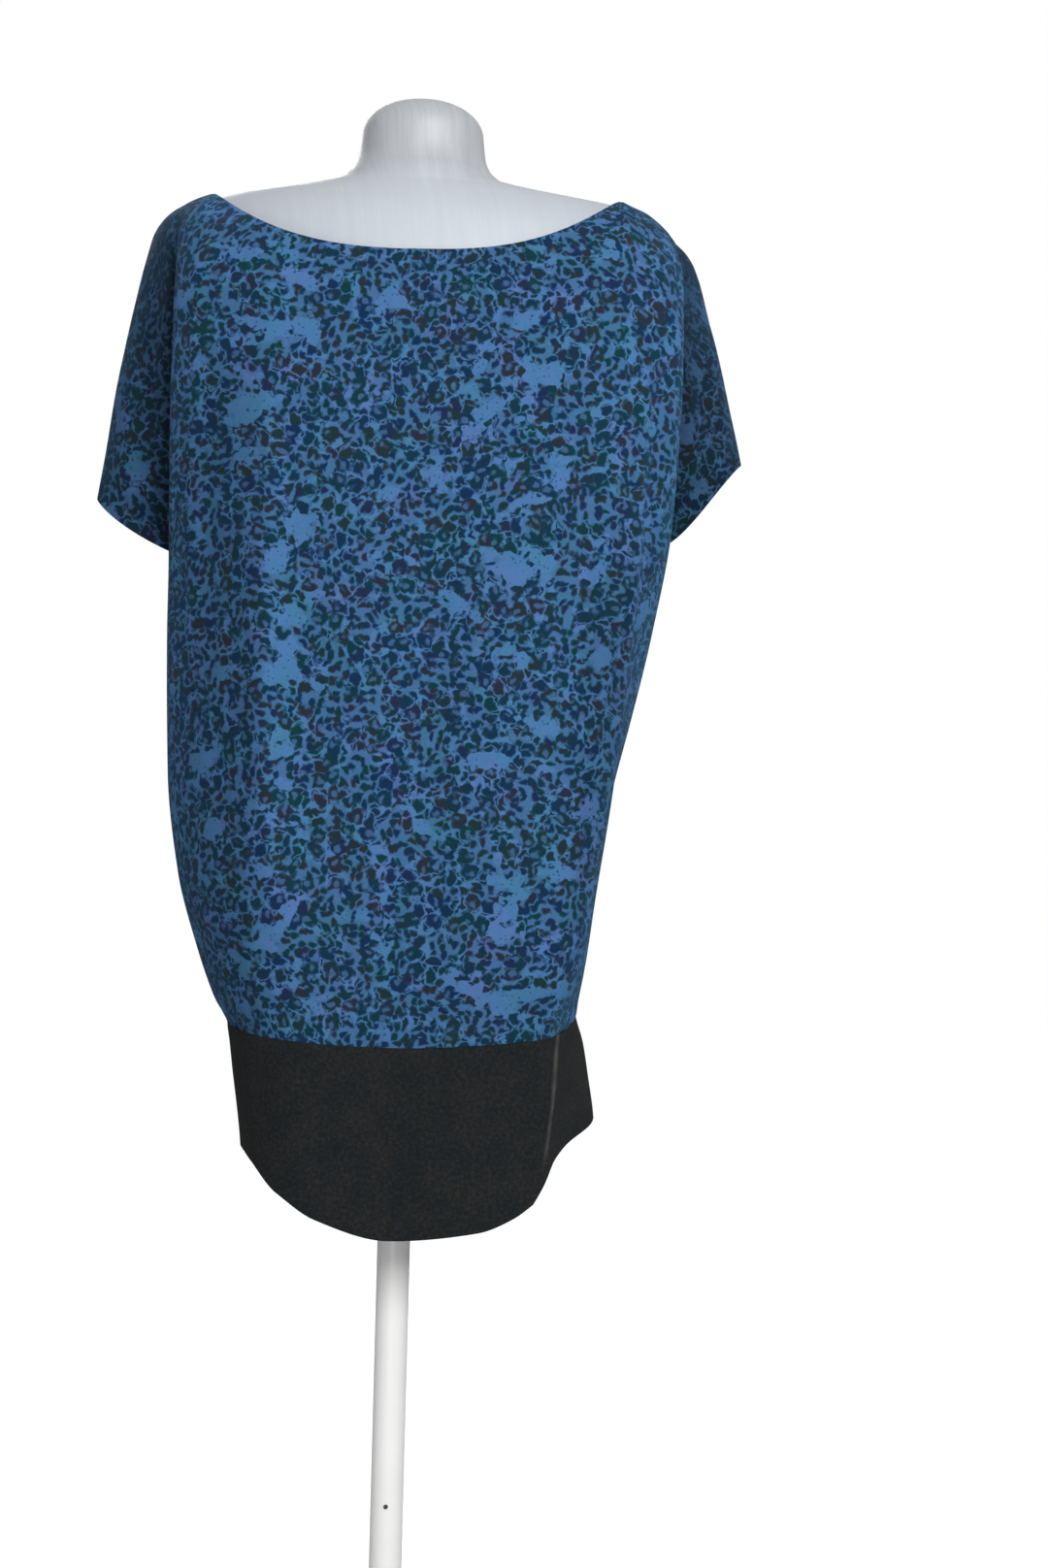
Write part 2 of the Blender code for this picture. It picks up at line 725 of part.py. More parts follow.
def dress_form(look, parent):
    """The torso as one smooth closed body with a domed neck and a flat underside."""
    sizes = ("half_width", "back", "front", "power")
    rings = []
    for i in range(1, FORM_DOME_STEPS):
        angle = math.pi / 2 * i / FORM_DOME_STEPS
        shrink = math.sin(angle)
        height = NECK_TOP - NECK_DOME * (1 - math.cos(angle))
        width, back, front, power = (FORM[name][0] for name in sizes)
        lean = (front - back) / 2
        deep = (front + back) / 2 * shrink
        rings.append(form_ring(width * shrink, deep - lean, deep + lean, power, height))
    tall = FORM["height"]
    heights = []
    for upper, lower in zip(tall[:-1], tall[1:]):
        steps = 2 if upper - lower > FORM_STEP else 1
        heights += [upper + (lower - upper) * n / steps for n in range(steps)]
    heights.append(FORM_BOTTOM)
    for height in heights:
        rings.append(form_ring(*(float(read(FORM, name, height)) for name in sizes), height))
    builder = bmesh.new()
    verts = [[builder.verts.new(p) for p in ring] for ring in rings]
    for upper, lower in zip(verts, verts[1:]):
        for i in range(ROUND):
            j = (i + 1) % ROUND
            builder.faces.new((upper[i], upper[j], lower[j], lower[i]))
    crown = builder.verts.new((0, (FORM["front"][0] - FORM["back"][0]) / 2, NECK_TOP))
    for i in range(ROUND):
        builder.faces.new((crown, verts[0][(i + 1) % ROUND], verts[0][i]))
    builder.faces.new(verts[-1])
    return finish_object("dress_form", builder, look, parent)


def turned(name, profile, look, parent, spot=(0, 0, 0), tilt=(0, 0, 0)):
    """A round piece: the profile is (radius, height) points, its ends on the axis or met by each other."""
    builder = bmesh.new()
    verts = [builder.verts.new((r, 0, z)) for r, z in profile]
    pairs = list(zip(verts, verts[1:]))
    if profile[0][0] > 0:
        pairs.append((verts[-1], verts[0]))
    edges = [builder.edges.new(pair) for pair in pairs]
    bmesh.ops.spin(
        builder, geom=verts + edges, cent=(0, 0, 0), axis=(0, 0, 1), angle=2 * math.pi, steps=ROUND
    )
    bmesh.ops.remove_doubles(builder, verts=builder.verts, dist=MERGE)
    made = finish_object(name, builder, look, parent)
    made.location = spot
    made.rotation_euler = tilt
    return made


def stand(parent):
    """The pole, the sleeve under the form that it plugs into, its foot and boss, and the height button."""
    white = material("white_paint", WHITE_PAINT)
    dark = material("dark_metal", DARK_METAL)
    bore = POLE_RADIUS + BORE_CLEARANCE
    top = FORM_BOTTOM - GAP
    roof = top - SOCKET_ROOF
    mouth = top - SOCKET_FLANGE - SOCKET_LENGTH
    socket = (
        (0, top),
        (SOCKET_FLANGE_RADIUS, top),
        (SOCKET_FLANGE_RADIUS, top - SOCKET_FLANGE),
        (SOCKET_RADIUS, top - SOCKET_FLANGE),
        (SOCKET_RADIUS, mouth),
        (bore, mouth),
        (bore, roof),
        (0, roof),
    )
    turned("form_socket", socket, dark, parent)
    pole_top = roof - GAP
    pole_foot = BORE_FLOOR + GAP
    pole = ((0, pole_top), (POLE_RADIUS, pole_top), (POLE_RADIUS, pole_foot), (0, pole_foot))
    turned("pole", pole, white, parent)
    rim = BASE["radius"][-1]
    seat = BASE["height"][0]
    base = (
        (0, BORE_FLOOR),
        (bore, BORE_FLOOR),
        (bore, seat),
        *zip(BASE["radius"], BASE["height"]),
        (rim, BASE_BEVEL),
        (rim - BASE_BEVEL, 0),
        (0, 0),
    )
    turned("base", base, white, parent)
    boss = (
        (bore, BOSS_TOP),
        (BOSS_RADIUS - BOSS_BEVEL, BOSS_TOP),
        (BOSS_RADIUS, BOSS_TOP - BOSS_BEVEL),
        (BOSS_RADIUS, seat + GAP + BOSS_FLARE),
        (BOSS_RADIUS + BOSS_FLARE, seat + GAP),
        (bore, seat + GAP),
    )
    turned("base_boss", boss, white, parent)
    button = (
        (0, BUTTON_STAND),
        (BUTTON_RADIUS * BUTTON_CROWN, BUTTON_STAND),
        (BUTTON_RADIUS, BUTTON_STAND * BUTTON_SHOULDER),
        (BUTTON_RADIUS, 0),
        (0, 0),
    )
    spot = (0, -POLE_RADIUS - GAP, BUTTON_HEIGHT)
    turned("pole_button", button, dark, parent, spot, (math.pi / 2, 0, 0))


def main():
    for old in list(bpy.data.objects):
        bpy.data.objects.remove(old)
    root = bpy.data.objects.new("tunic_tee_on_form", None)
    bpy.context.scene.collection.objects.link(root)
    print_cloth = material("print_knit", PRINT_CLOTH)
    band_cloth = material("band_knit", BAND_CLOTH)
    for face in ("back", "front"):
        panel(face, print_cloth, root)
        band(face, band_cloth, root)
    dress_form(material("silver_cloth", SILVER_CLOTH), root)
    stand(root)


main()
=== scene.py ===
"""The looks of a tunic tee on a dress form: cloth, print, form cover, stand, camera and light.

Metres, +Z up. The floor is z = 0, the pole stands on the Z axis, and the garment's back faces -Y.
"""

import math

import bmesh
import bpy
import numpy as np
from mathutils import Matrix, Vector


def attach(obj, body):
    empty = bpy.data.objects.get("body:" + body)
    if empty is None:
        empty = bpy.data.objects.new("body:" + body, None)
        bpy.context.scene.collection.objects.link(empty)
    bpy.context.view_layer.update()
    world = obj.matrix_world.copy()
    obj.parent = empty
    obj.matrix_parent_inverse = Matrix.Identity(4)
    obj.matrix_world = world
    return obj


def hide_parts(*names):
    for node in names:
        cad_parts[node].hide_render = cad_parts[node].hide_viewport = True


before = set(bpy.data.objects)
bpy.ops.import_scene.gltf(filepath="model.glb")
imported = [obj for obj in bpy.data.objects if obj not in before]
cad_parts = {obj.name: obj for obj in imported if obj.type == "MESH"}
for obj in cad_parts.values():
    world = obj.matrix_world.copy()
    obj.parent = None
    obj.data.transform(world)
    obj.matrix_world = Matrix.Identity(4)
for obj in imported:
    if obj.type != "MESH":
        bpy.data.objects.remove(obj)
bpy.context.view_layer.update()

# Cloth
JERSEY = 0.00075
SEAM_GAP = 0.0001
GAP = 0.0003
EDGE_RADIUS = 0.00085
EDGE_FLAT = 0.1
TURNED_NECK = 0.009
TURNED_CUFF = 0.012
TURNED_HEM = 0.020
TURN_STEP = 0.0005
SEAM_DIP = 0.0005
SEAM_DIP_WIDTH = 0.0016
BAND_DIP = 0.0007
BAND_DIP_WIDTH = 0.0035
EDGE_CALM = 0.010
LINE_REACH = 0.04

# The garment's own sizes
NECK_BACK_LOW = 1.3515
NECK_FRONT_LOW = 1.332
NECK_CURVE = 2.9
CREST_RISE = 0.0085
SHOULDER_ROUND = 0.112
UNDERARM_LEFT = 1.115
UNDERARM_RIGHT = 1.135
SLEEVE_HEAD = 0.010
CUFF_SAG_LEFT = 0.0075
CUFF_SAG_RIGHT = 0.024
CUFF_FRONT_LIFT = 0.010
SLEEVE_LEAVES_DEEP = -0.20
HEAD_LEAVES_DEEP = -0.60
SLEEVE_REACHES_OUT = 0.25
SLEEVE_REACHES_DEEP = -0.55
SLEEVE_PUFF = 0.018
SLEEVE_PUFF_POWER = 1.5
SLEEVE_HEAD_SHARE = 1 / 6
FOLD_FADE = 0.7
YOKE_CROWDING = 0.8
YOKE_CROWDS_FROM = 0.6
YOKE_CROWDS_TO = 1.1
YOKE_LENGTH = 0.27
BODY_LENGTH = 0.39
BAND_LENGTH = 0.12
HOLLOW_LEAN = 0.4
SIGN = {"left": -1, "right": 1}
OUTER_COLUMN = {"left": 0, "right": -1}

# Fine mesh
SEAM_ROUNDS = 20
SHARE_STEPS = 400
TINY = 1e-9
NECK_COLUMNS = 46
SIDE_COLUMNS = 13
YOKE_ROWS = 74
BODY_ROWS = 112
BAND_ROWS = 40
SLEEVE_COLUMNS = 24
EDGE_ROWS = (0, 0.0002, 0.0005, 0.0009, 0.0018, 0.0035, 0.0060)
COARSE_STEP = 4

# The stand
FORM_BOTTOM = 0.840
FORM_ROUND = 0.006
NECK_DOME = 0.030
NECK_TOP = 1.498
FORM_SIZES = ("half_width", "back", "front", "power")
FORM_SEGMENTS = 128
FORM_ROW = 0.006
DOME_ROWS = 12
ROUND_ROWS = 5
POLE_RADIUS = 0.0135
BORE_CLEARANCE = 0.0004
BASE_BEVEL = 0.0015
BORE_FLOOR = 0.012
BOSS_TOP = 0.055
BOSS_RADIUS = 0.024
BOSS_FLARE = 0.004
SOCKET_FLANGE_RADIUS = 0.045
SOCKET_FLANGE = 0.006
SOCKET_RADIUS = 0.019
SOCKET_LENGTH = 0.050
SOCKET_ROOF = 0.010
BUTTON_HEIGHT = 0.344
BUTTON_RADIUS = 0.0018
BUTTON_STAND = 0.0012
BORE = POLE_RADIUS + BORE_CLEARANCE
SOCKET_TOP = FORM_BOTTOM - GAP
SOCKET_INSIDE = SOCKET_TOP - SOCKET_ROOF
TURNED_STEPS = 96
BASE_STEPS = 40
WELD = 1e-6
SHARP_FROM = 50

# Rounded edges: their steps and radii. Each takes at most about half of the side beside it.
CORNER_STEPS = 4
CORNER_PARTS = 2.01
SOCKET_CORNER = 0.0008
POLE_CORNER = 0.0006
FOOT_CORNER = 0.0010
BOSS_CORNER = 0.0025
BUTTON_CORNER = 0.0006


# Tables
def table(names, *rows):
    """A short table: one list of values for each named column."""
    return dict(zip(names.split(), np.array(rows, dtype=float).T))


def tables(names, **labelled):
    """Tables with the same columns, each under its label."""
    return {label: table(names, *rows) for label, rows in labelled.items()}


# The shoulder and overarm seam, from the neck point out to the sleeve's tip.
OVERARM = tables(
    "out height",
    left=(
        (0.169, 1.4140), (0.184, 1.4098), (0.192, 1.4060), (0.201, 1.4008), (0.210, 1.3938),
        (0.2165, 1.3875), (0.2205, 1.3800), (0.2235, 1.3700), (0.2275, 1.3550), (0.233, 1.3300),
        (0.241, 1.2900), (0.248, 1.2520), (0.2545, 1.2050), (0.261, 1.1640),
    ),
    right=(
        (0.165, 1.4165), (0.174, 1.4125), (0.184, 1.4085), (0.193, 1.4025), (0.202, 1.3948),
        (0.2085, 1.3875), (0.218, 1.3790), (0.2255, 1.3690), (0.2315, 1.3550), (0.2385, 1.3300),
        (0.249, 1.2900), (0.259, 1.2500), (0.2655, 1.2250), (0.270, 1.2050),
    ),
)

# The hollow behind each side fold, which is the side seam below the underarm.
HOLLOW = tables(
    "height out",
    left=(
        (1.406, 0.196), (1.310, 0.190), (1.220, 0.184), (1.150, 0.181), (1.115, 0.182), (1.050, 0.184),
        (0.940, 0.182), (0.860, 0.175), (0.800, 0.158), (0.760, 0.145), (0.741, 0.1370),
        (0.700, 0.1315), (0.640, 0.1250), (0.560, 0.1210),
    ),
    right=(
        (1.390, 0.210), (1.340, 0.207), (1.250, 0.203), (1.190, 0.200), (1.135, 0.200), (1.063, 0.192),
        (0.985, 0.178), (0.907, 0.163), (0.867, 0.158), (0.788, 0.150), (0.754, 0.1445),
        (0.725, 0.1520), (0.700, 0.1565), (0.665, 0.1620), (0.560, 0.1680),
    ),
)

# Sections at each height. Out is away from x = 0 and deep is away from y = 0: the knuckle is where the
# flat of the panel turns, the fold is the outermost ridge, and the hollow lies behind it.
SECTIONS = tables(
    "height knuckle_out knuckle_deep fold_out fold_deep hollow_deep",
    left_back=(
        (1.4155, 0.169, 0.106, 0.187, 0.085, 0.079),
        (1.370, 0.168, 0.105, 0.187, 0.086, 0.074),
        (1.340, 0.167, 0.105, 0.1865, 0.086, 0.060),
        (1.310, 0.166, 0.104, 0.186, 0.087, 0.050),
        (1.220, 0.154, 0.106, 0.188, 0.083, 0.044),
        (1.150, 0.143, 0.109, 0.188, 0.077, 0.027),
        (1.115, 0.139, 0.110, 0.1875, 0.072, 0.000),
        (1.050, 0.136, 0.111, 0.1885, 0.065, 0.000),
        (0.940, 0.132, 0.111, 0.1865, 0.058, 0.000),
        (0.860, 0.127, 0.110, 0.177, 0.053, 0.000),
        (0.800, 0.112, 0.108, 0.161, 0.048, 0.000),
        (0.760, 0.101, 0.104, 0.1465, 0.045, 0.000),
        (0.741, 0.096, 0.102, 0.1365, 0.044, 0.000),
        (0.700, 0.092, 0.102, 0.1295, 0.047, 0.000),
        (0.640, 0.090, 0.103, 0.1215, 0.048, 0.000),
        (0.560, 0.088, 0.104, 0.1170, 0.048, 0.000),
    ),
    right_back=(
        (1.4165, 0.165, 0.104, 0.200, 0.080, 0.048),
        (1.388, 0.168, 0.104, 0.203, 0.080, 0.047),
        (1.346, 0.171, 0.104, 0.2125, 0.080, 0.046),
        (1.253, 0.175, 0.106, 0.214, 0.078, 0.044),
        (1.190, 0.174, 0.107, 0.2115, 0.076, 0.034),
        (1.135, 0.172, 0.107, 0.207, 0.070, 0.000),
        (1.063, 0.166, 0.108, 0.196, 0.060, 0.000),
        (0.985, 0.158, 0.108, 0.181, 0.052, 0.000),
        (0.907, 0.150, 0.106, 0.164, 0.046, 0.000),
        (0.867, 0.145, 0.105, 0.158, 0.043, 0.000),
        (0.788, 0.134, 0.101, 0.1495, 0.040, 0.000),
        (0.754, 0.121, 0.097, 0.143, 0.042, 0.000),
        (0.725, 0.117, 0.095, 0.139, 0.050, 0.000),
        (0.665, 0.114, 0.096, 0.140, 0.052, 0.000),
        (0.560, 0.113, 0.097, 0.142, 0.052, 0.000),
    ),
    left_front=(
        (1.4155, 0.169, 0.104, 0.187, 0.084, 0.078),
        (1.370, 0.164, 0.105, 0.186, 0.084, 0.073),
        (1.340, 0.160, 0.107, 0.185, 0.082, 0.058),
        (1.310, 0.156, 0.108, 0.184, 0.082, 0.048),
        (1.220, 0.148, 0.116, 0.184, 0.080, 0.042),
        (1.150, 0.144, 0.118, 0.184, 0.076, 0.026),
        (1.115, 0.142, 0.118, 0.184, 0.073, 0.000),
        (1.050, 0.138, 0.117, 0.185, 0.068, 0.000),
        (0.940, 0.132, 0.114, 0.183, 0.062, 0.000),
        (0.860, 0.122, 0.111, 0.173, 0.056, 0.000),
        (0.800, 0.110, 0.108, 0.157, 0.050, 0.000),
        (0.741, 0.096, 0.101, 0.1360, 0.046, 0.000),
        (0.700, 0.092, 0.101, 0.1290, 0.047, 0.000),
        (0.640, 0.090, 0.102, 0.1210, 0.048, 0.000),
        (0.560, 0.088, 0.103, 0.1165, 0.048, 0.000),
    ),
    right_front=(
        (1.4165, 0.165, 0.104, 0.200, 0.080, 0.048),
        (1.388, 0.165, 0.105, 0.202, 0.080, 0.047),
        (1.346, 0.164, 0.107, 0.209, 0.080, 0.046),
        (1.253, 0.162, 0.114, 0.210, 0.078, 0.042),
        (1.190, 0.160, 0.116, 0.207, 0.076, 0.032),
        (1.135, 0.157, 0.116, 0.203, 0.071, 0.000),
        (1.063, 0.152, 0.115, 0.194, 0.063, 0.000),
        (0.985, 0.144, 0.113, 0.179, 0.056, 0.000),
        (0.907, 0.136, 0.110, 0.165, 0.050, 0.000),
        (0.788, 0.118, 0.104, 0.149, 0.044, 0.000),
        (0.754, 0.108, 0.101, 0.142, 0.044, 0.000),
        (0.725, 0.105, 0.100, 0.141, 0.047, 0.000),
        (0.665, 0.102, 0.101, 0.143, 0.048, 0.000),
        (0.560, 0.101, 0.102, 0.146, 0.048, 0.000),
    ),
)

# The heights between which each side fold opens out into the shoulder.
FOLD_OPENS = {"left": (1.305, 1.375), "right": (1.395, 1.440)}

# How far the middle of each panel stands from y = 0.
MIDDLE = tables(
    "height deep",
    back=(
        (1.430, 0.112), (1.350, 0.113), (1.270, 0.1155), (1.170, 0.118), (1.050, 0.1195),
        (0.900, 0.118), (0.800, 0.114), (0.760, 0.1095), (0.735, 0.1070), (0.700, 0.1075),
        (0.580, 0.1115),
    ),
    front=(
        (1.430, 0.112), (1.380, 0.114), (1.300, 0.124), (1.200, 0.135), (1.120, 0.136), (1.000, 0.131),
        (0.900, 0.127), (0.800, 0.119), (0.760, 0.1125), (0.735, 0.1085), (0.700, 0.1080),
        (0.580, 0.1110),
    ),
)

# The band's seam and its curved hem, by the column that they cross: 1 is the knuckle, 2 the fold and
# 3 the side seam, with the left side's columns below zero.
BAND_SEAM = tables(
    "column height",
    back=(
        (-3, 0.7410), (-2, 0.7400), (-1, 0.7350), (0, 0.7305), (1, 0.7390), (2, 0.7470), (3, 0.7530),
    ),
    front=(
        (-3, 0.7410), (-2, 0.7395), (-1, 0.7360), (0, 0.7330), (1, 0.7390), (2, 0.7465), (3, 0.7530),
    ),
)
HEM = tables(
    "column height",
    back=(
        (-3, 0.6420), (-2, 0.6400), (-1.5, 0.6345), (-1, 0.6165), (-0.6, 0.5965), (0, 0.5815),
        (0.6, 0.5890), (0.85, 0.5995), (1, 0.6095), (1.25, 0.6255), (1.5, 0.6410), (2, 0.6510),
        (3, 0.6650),
    ),
    front=(
        (-3, 0.6420), (-2, 0.6370), (-1.5, 0.6280), (-1, 0.6150), (-0.6, 0.5980), (0, 0.5850),
        (0.6, 0.5930), (1, 0.6100), (1.5, 0.6330), (2, 0.6500), (3, 0.6650),
    ),
)

# The largest soft folds, which the part has too.
FOLDS = tables(
    "top_x top_z foot_x foot_z width raise",
    back=(
        (-0.128, 1.290, -0.086, 0.790, 0.017, 0.0040),
        (-0.094, 1.260, -0.052, 0.800, 0.018, -0.0030),
        (-0.030, 1.220, -0.016, 0.780, 0.022, 0.0025),
        (0.030, 1.240, 0.026, 0.800, 0.020, -0.0020),
        (0.176, 1.300, 0.124, 0.765, 0.013, 0.0045),
        (0.148, 1.250, 0.100, 0.780, 0.016, -0.0030),
    ),
    front=(
        (-0.120, 1.240, -0.088, 0.790, 0.018, 0.0040),
        (-0.080, 1.140, -0.058, 0.800, 0.020, -0.0040),
        (0.000, 1.120, 0.006, 0.780, 0.024, -0.0040),
        (0.084, 1.160, 0.062, 0.790, 0.019, -0.0035),
        (0.132, 1.260, 0.100, 0.780, 0.016, 0.0045),
    ),
)

# Smaller creases. Each runs from its top through its bend to its foot, has one half width on its left
# and another on its right, and stands out by raise, or in below zero.
CREASES = tables(
    "top_x top_z bend_x bend_z foot_x foot_z left right raise",
    back=(
        (0.190, 1.340, 0.1805, 1.120, 0.149, 0.790, 0.0085, 0.0032, 0.0036),
        (0.198, 1.300, 0.1880, 1.120, 0.164, 0.860, 0.0045, 0.0080, -0.0022),
        (-0.104, 1.225, -0.1000, 1.060, -0.094, 0.850, 0.0120, 0.0032, 0.0024),
        (0.160, 1.200, 0.1490, 1.030, 0.118, 0.800, 0.0100, 0.0075, -0.0019),
        (-0.127, 1.190, -0.1120, 1.000, -0.087, 0.782, 0.0080, 0.0120, 0.0019),
        (-0.153, 1.260, -0.1500, 1.060, -0.128, 0.840, 0.0090, 0.0060, -0.0023),
        (-0.168, 1.330, -0.1690, 1.200, -0.158, 0.960, 0.0060, 0.0090, 0.0018),
        (-0.086, 1.090, -0.0800, 0.960, -0.066, 0.770, 0.0070, 0.0100, -0.0015),
        (-0.060, 1.000, -0.0520, 0.900, -0.040, 0.748, 0.0080, 0.0065, 0.0015),
        (-0.010, 0.930, -0.0060, 0.860, 0.000, 0.742, 0.0080, 0.0110, -0.0014),
        (0.048, 1.010, 0.0500, 0.900, 0.046, 0.746, 0.0095, 0.0070, 0.0016),
        (0.096, 1.060, 0.0930, 0.930, 0.080, 0.755, 0.0075, 0.0100, -0.0018),
        (0.118, 0.960, 0.1120, 0.870, 0.100, 0.752, 0.0060, 0.0085, 0.0015),
        (-0.140, 1.398, -0.1200, 1.340, -0.112, 1.230, 0.0090, 0.0120, 0.0014),
        (0.150, 1.398, 0.1380, 1.330, 0.138, 1.240, 0.0110, 0.0080, 0.0015),
        (-0.206, 1.370, -0.2120, 1.280, -0.214, 1.150, 0.0060, 0.0090, -0.0021),
        (-0.226, 1.320, -0.2330, 1.240, -0.240, 1.160, 0.0070, 0.0050, 0.0018),
        (0.224, 1.340, 0.2320, 1.260, 0.240, 1.160, 0.0070, 0.0100, -0.0021),
        (0.240, 1.320, 0.2480, 1.260, 0.257, 1.185, 0.0060, 0.0080, 0.0015),
    ),
    front=(
        (-0.150, 1.300, -0.1440, 1.090, -0.110, 0.800, 0.0070, 0.0100, 0.0023),
        (-0.168, 1.250, -0.1660, 1.080, -0.140, 0.850, 0.0080, 0.0050, -0.0018),
        (-0.108, 1.110, -0.0980, 0.960, -0.074, 0.765, 0.0090, 0.0070, -0.0018),
        (-0.060, 1.080, -0.0560, 0.930, -0.040, 0.750, 0.0070, 0.0110, 0.0021),
        (-0.030, 0.990, -0.0260, 0.900, -0.016, 0.744, 0.0080, 0.0060, -0.0014),
        (0.022, 1.050, 0.0260, 0.900, 0.028, 0.746, 0.0090, 0.0075, 0.0020),
        (0.052, 0.960, 0.0520, 0.870, 0.048, 0.748, 0.0060, 0.0090, -0.0013),
        (0.104, 1.130, 0.1000, 0.960, 0.080, 0.760, 0.0100, 0.0070, -0.0020),
        (0.150, 1.290, 0.1480, 1.080, 0.122, 0.800, 0.0080, 0.0060, 0.0026),
        (0.178, 1.240, 0.1700, 1.080, 0.146, 0.850, 0.0050, 0.0080, -0.0017),
        (-0.120, 1.390, -0.0900, 1.310, -0.084, 1.200, 0.0110, 0.0080, 0.0013),
        (0.130, 1.392, 0.1050, 1.310, 0.092, 1.190, 0.0090, 0.0120, 0.0014),
        (-0.206, 1.360, -0.2130, 1.270, -0.216, 1.150, 0.0060, 0.0080, -0.0017),
        (-0.228, 1.310, -0.2340, 1.240, -0.242, 1.170, 0.0070, 0.0050, 0.0013),
        (0.222, 1.340, 0.2330, 1.250, 0.242, 1.170, 0.0080, 0.0060, -0.0016),
        (0.244, 1.300, 0.2500, 1.250, 0.258, 1.190, 0.0050, 0.0070, 0.0013),
    ),
)

# Small waves where the cloth is eased into the band: their spacing along the seam, depth and phase.
PUCKERS = table(
    "spacing depth phase",
    (0.0210, 0.00042, 0.4),
    (0.0137, 0.00026, 2.1),
    (0.0345, 0.00050, 4.0),
)
PUCKER_REACH = 0.016
PUCKER_DRIFT = 2
BAND_PUCKER_SHARE = 1 / 3

# The band's own long soft waves.
BAND_WAVES = tables(
    "top_x top_z bend_x bend_z foot_x foot_z left right raise",
    back=(
        (0.133, 0.745, 0.1260, 0.700, 0.1185, 0.640, 0.0032, 0.0040, 0.0026),
        (-0.116, 0.735, -0.1120, 0.700, -0.104, 0.640, 0.0050, 0.0040, 0.0016),
        (-0.052, 0.728, -0.0550, 0.680, -0.060, 0.600, 0.0120, 0.0160, -0.0008),
        (0.030, 0.725, 0.0340, 0.680, 0.036, 0.590, 0.0150, 0.0110, 0.0008),
        (0.084, 0.730, 0.0860, 0.690, 0.090, 0.620, 0.0100, 0.0130, -0.0008),
    ),
    front=(
        (0.118, 0.745, 0.1200, 0.700, 0.124, 0.650, 0.0050, 0.0070, 0.0012),
        (-0.108, 0.735, -0.1060, 0.700, -0.102, 0.650, 0.0060, 0.0050, 0.0010),
        (-0.040, 0.728, -0.0440, 0.680, -0.050, 0.600, 0.0140, 0.0100, 0.0009),
        (0.046, 0.725, 0.0480, 0.680, 0.052, 0.600, 0.0110, 0.0150, -0.0009),
    ),
)

# The dress form, from the neck down.
FORM = table(
    "height half_width back front power",
    (1.468, 0.0500, 0.0470, 0.0550, 2.00),
    (1.449, 0.0525, 0.0495, 0.0560, 2.00),
    (1.439, 0.0570, 0.0530, 0.0585, 2.00),
    (1.433, 0.0630, 0.0570, 0.0610, 1.95),
    (1.4285, 0.0695, 0.0590, 0.0625, 1.88),
    (1.4255, 0.0790, 0.0605, 0.0640, 1.78),
    (1.4225, 0.1000, 0.0620, 0.0650, 1.62),
    (1.4195, 0.1230, 0.0635, 0.0665, 1.52),
    (1.4160, 0.1500, 0.0660, 0.0690, 1.48),
    (1.413, 0.1665, 0.0690, 0.0720, 1.52),
    (1.408, 0.1775, 0.0725, 0.0750, 1.60),
    (1.402, 0.1850, 0.0770, 0.0785, 1.72),
    (1.394, 0.1900, 0.0820, 0.0825, 1.88),
    (1.380, 0.1930, 0.0880, 0.0880, 2.12),
    (1.350, 0.1900, 0.0965, 0.0940, 2.28),
    (1.300, 0.1770, 0.1015, 0.1040, 2.38),
    (1.250, 0.1660, 0.1010, 0.1150, 2.40),
    (1.190, 0.1570, 0.0950, 0.1230, 2.35),
    (1.130, 0.1390, 0.0850, 0.1110, 2.25),
    (1.070, 0.1200, 0.0780, 0.0930, 2.15),
    (1.000, 0.1330, 0.0860, 0.0900, 2.20),
    (0.920, 0.1460, 0.0970, 0.0940, 2.30),
    (0.840, 0.1430, 0.0950, 0.0920, 2.30),
)

# The foot's upper side, from under the boss out to the rim.
BASE = table(
    "radius height",
    (0.040, 0.0190), (0.100, 0.0160), (0.145, 0.0125), (0.161, 0.0095), (0.168, 0.0065),
    (0.170, 0.0035),
)


# Objects
def placed(name, data):
    """A new object with this data, in the scene."""
    made = bpy.data.objects.new(name, data)
    bpy.context.scene.collection.objects.link(made)
    return made


def new_piece(name, mesh, *looks):
    """An object of this mesh in the scene, smooth, with its materials."""
    for look in looks:
        mesh.materials.append(look)
    mesh.shade_smooth()
    return placed(name, mesh)


# The garment's form
def hermite(start, end, lean_start, lean_end, t):
    """The cubic that leaves start with one lean and reaches end with the other."""
    return (
        (2 * t**3 - 3 * t**2 + 1) * start
        + (t**3 - 2 * t**2 + t) * lean_start
        + (3 * t**2 - 2 * t**3) * end
        + (t**3 - t**2) * lean_end
    )


def smooth(x, xs, ys):
    """A smooth curve through the points xs, ys, read at x. It never swings past them."""
    order = np.argsort(xs)
    xs = xs[order]
    ys = ys[order]
    step = np.diff(xs)
    slope = np.diff(ys) / step
    both = slope[:-1] * slope[1:]
    turning = both <= 0
    inner = np.where(turning, 0.0, 2 * both / np.where(turning, 1.0, slope[:-1] + slope[1:]))
    lean = np.concatenate(([slope[0]], inner, [slope[-1]]))
    x = np.clip(x, xs[0], xs[-1])
    i = np.clip(np.searchsorted(xs, x, side="right") - 1, 0, len(step) - 1)
    t = (x - xs[i]) / step[i]
    return hermite(ys[i], ys[i + 1], lean[i] * step[i], lean[i + 1] * step[i], t)


def read(rows, name, height):
    """A table's named column at this height."""
    return smooth(height, rows["height"], rows[name])


def unit(x, y):
    """The direction x, y at length 1."""
    size = np.maximum(np.hypot(x, y), TINY)
    return x / size, y / size


def seam_height(side, out):
    """How high the shoulder line is at this distance from the middle, under the neck too."""
    line = OVERARM[side]
    point = line["out"][0]
    crest = line["height"][0] + CREST_RISE * (1 - (out / point) ** 2)
    return np.where(out < point, crest, smooth(out, line["out"], line["height"]))


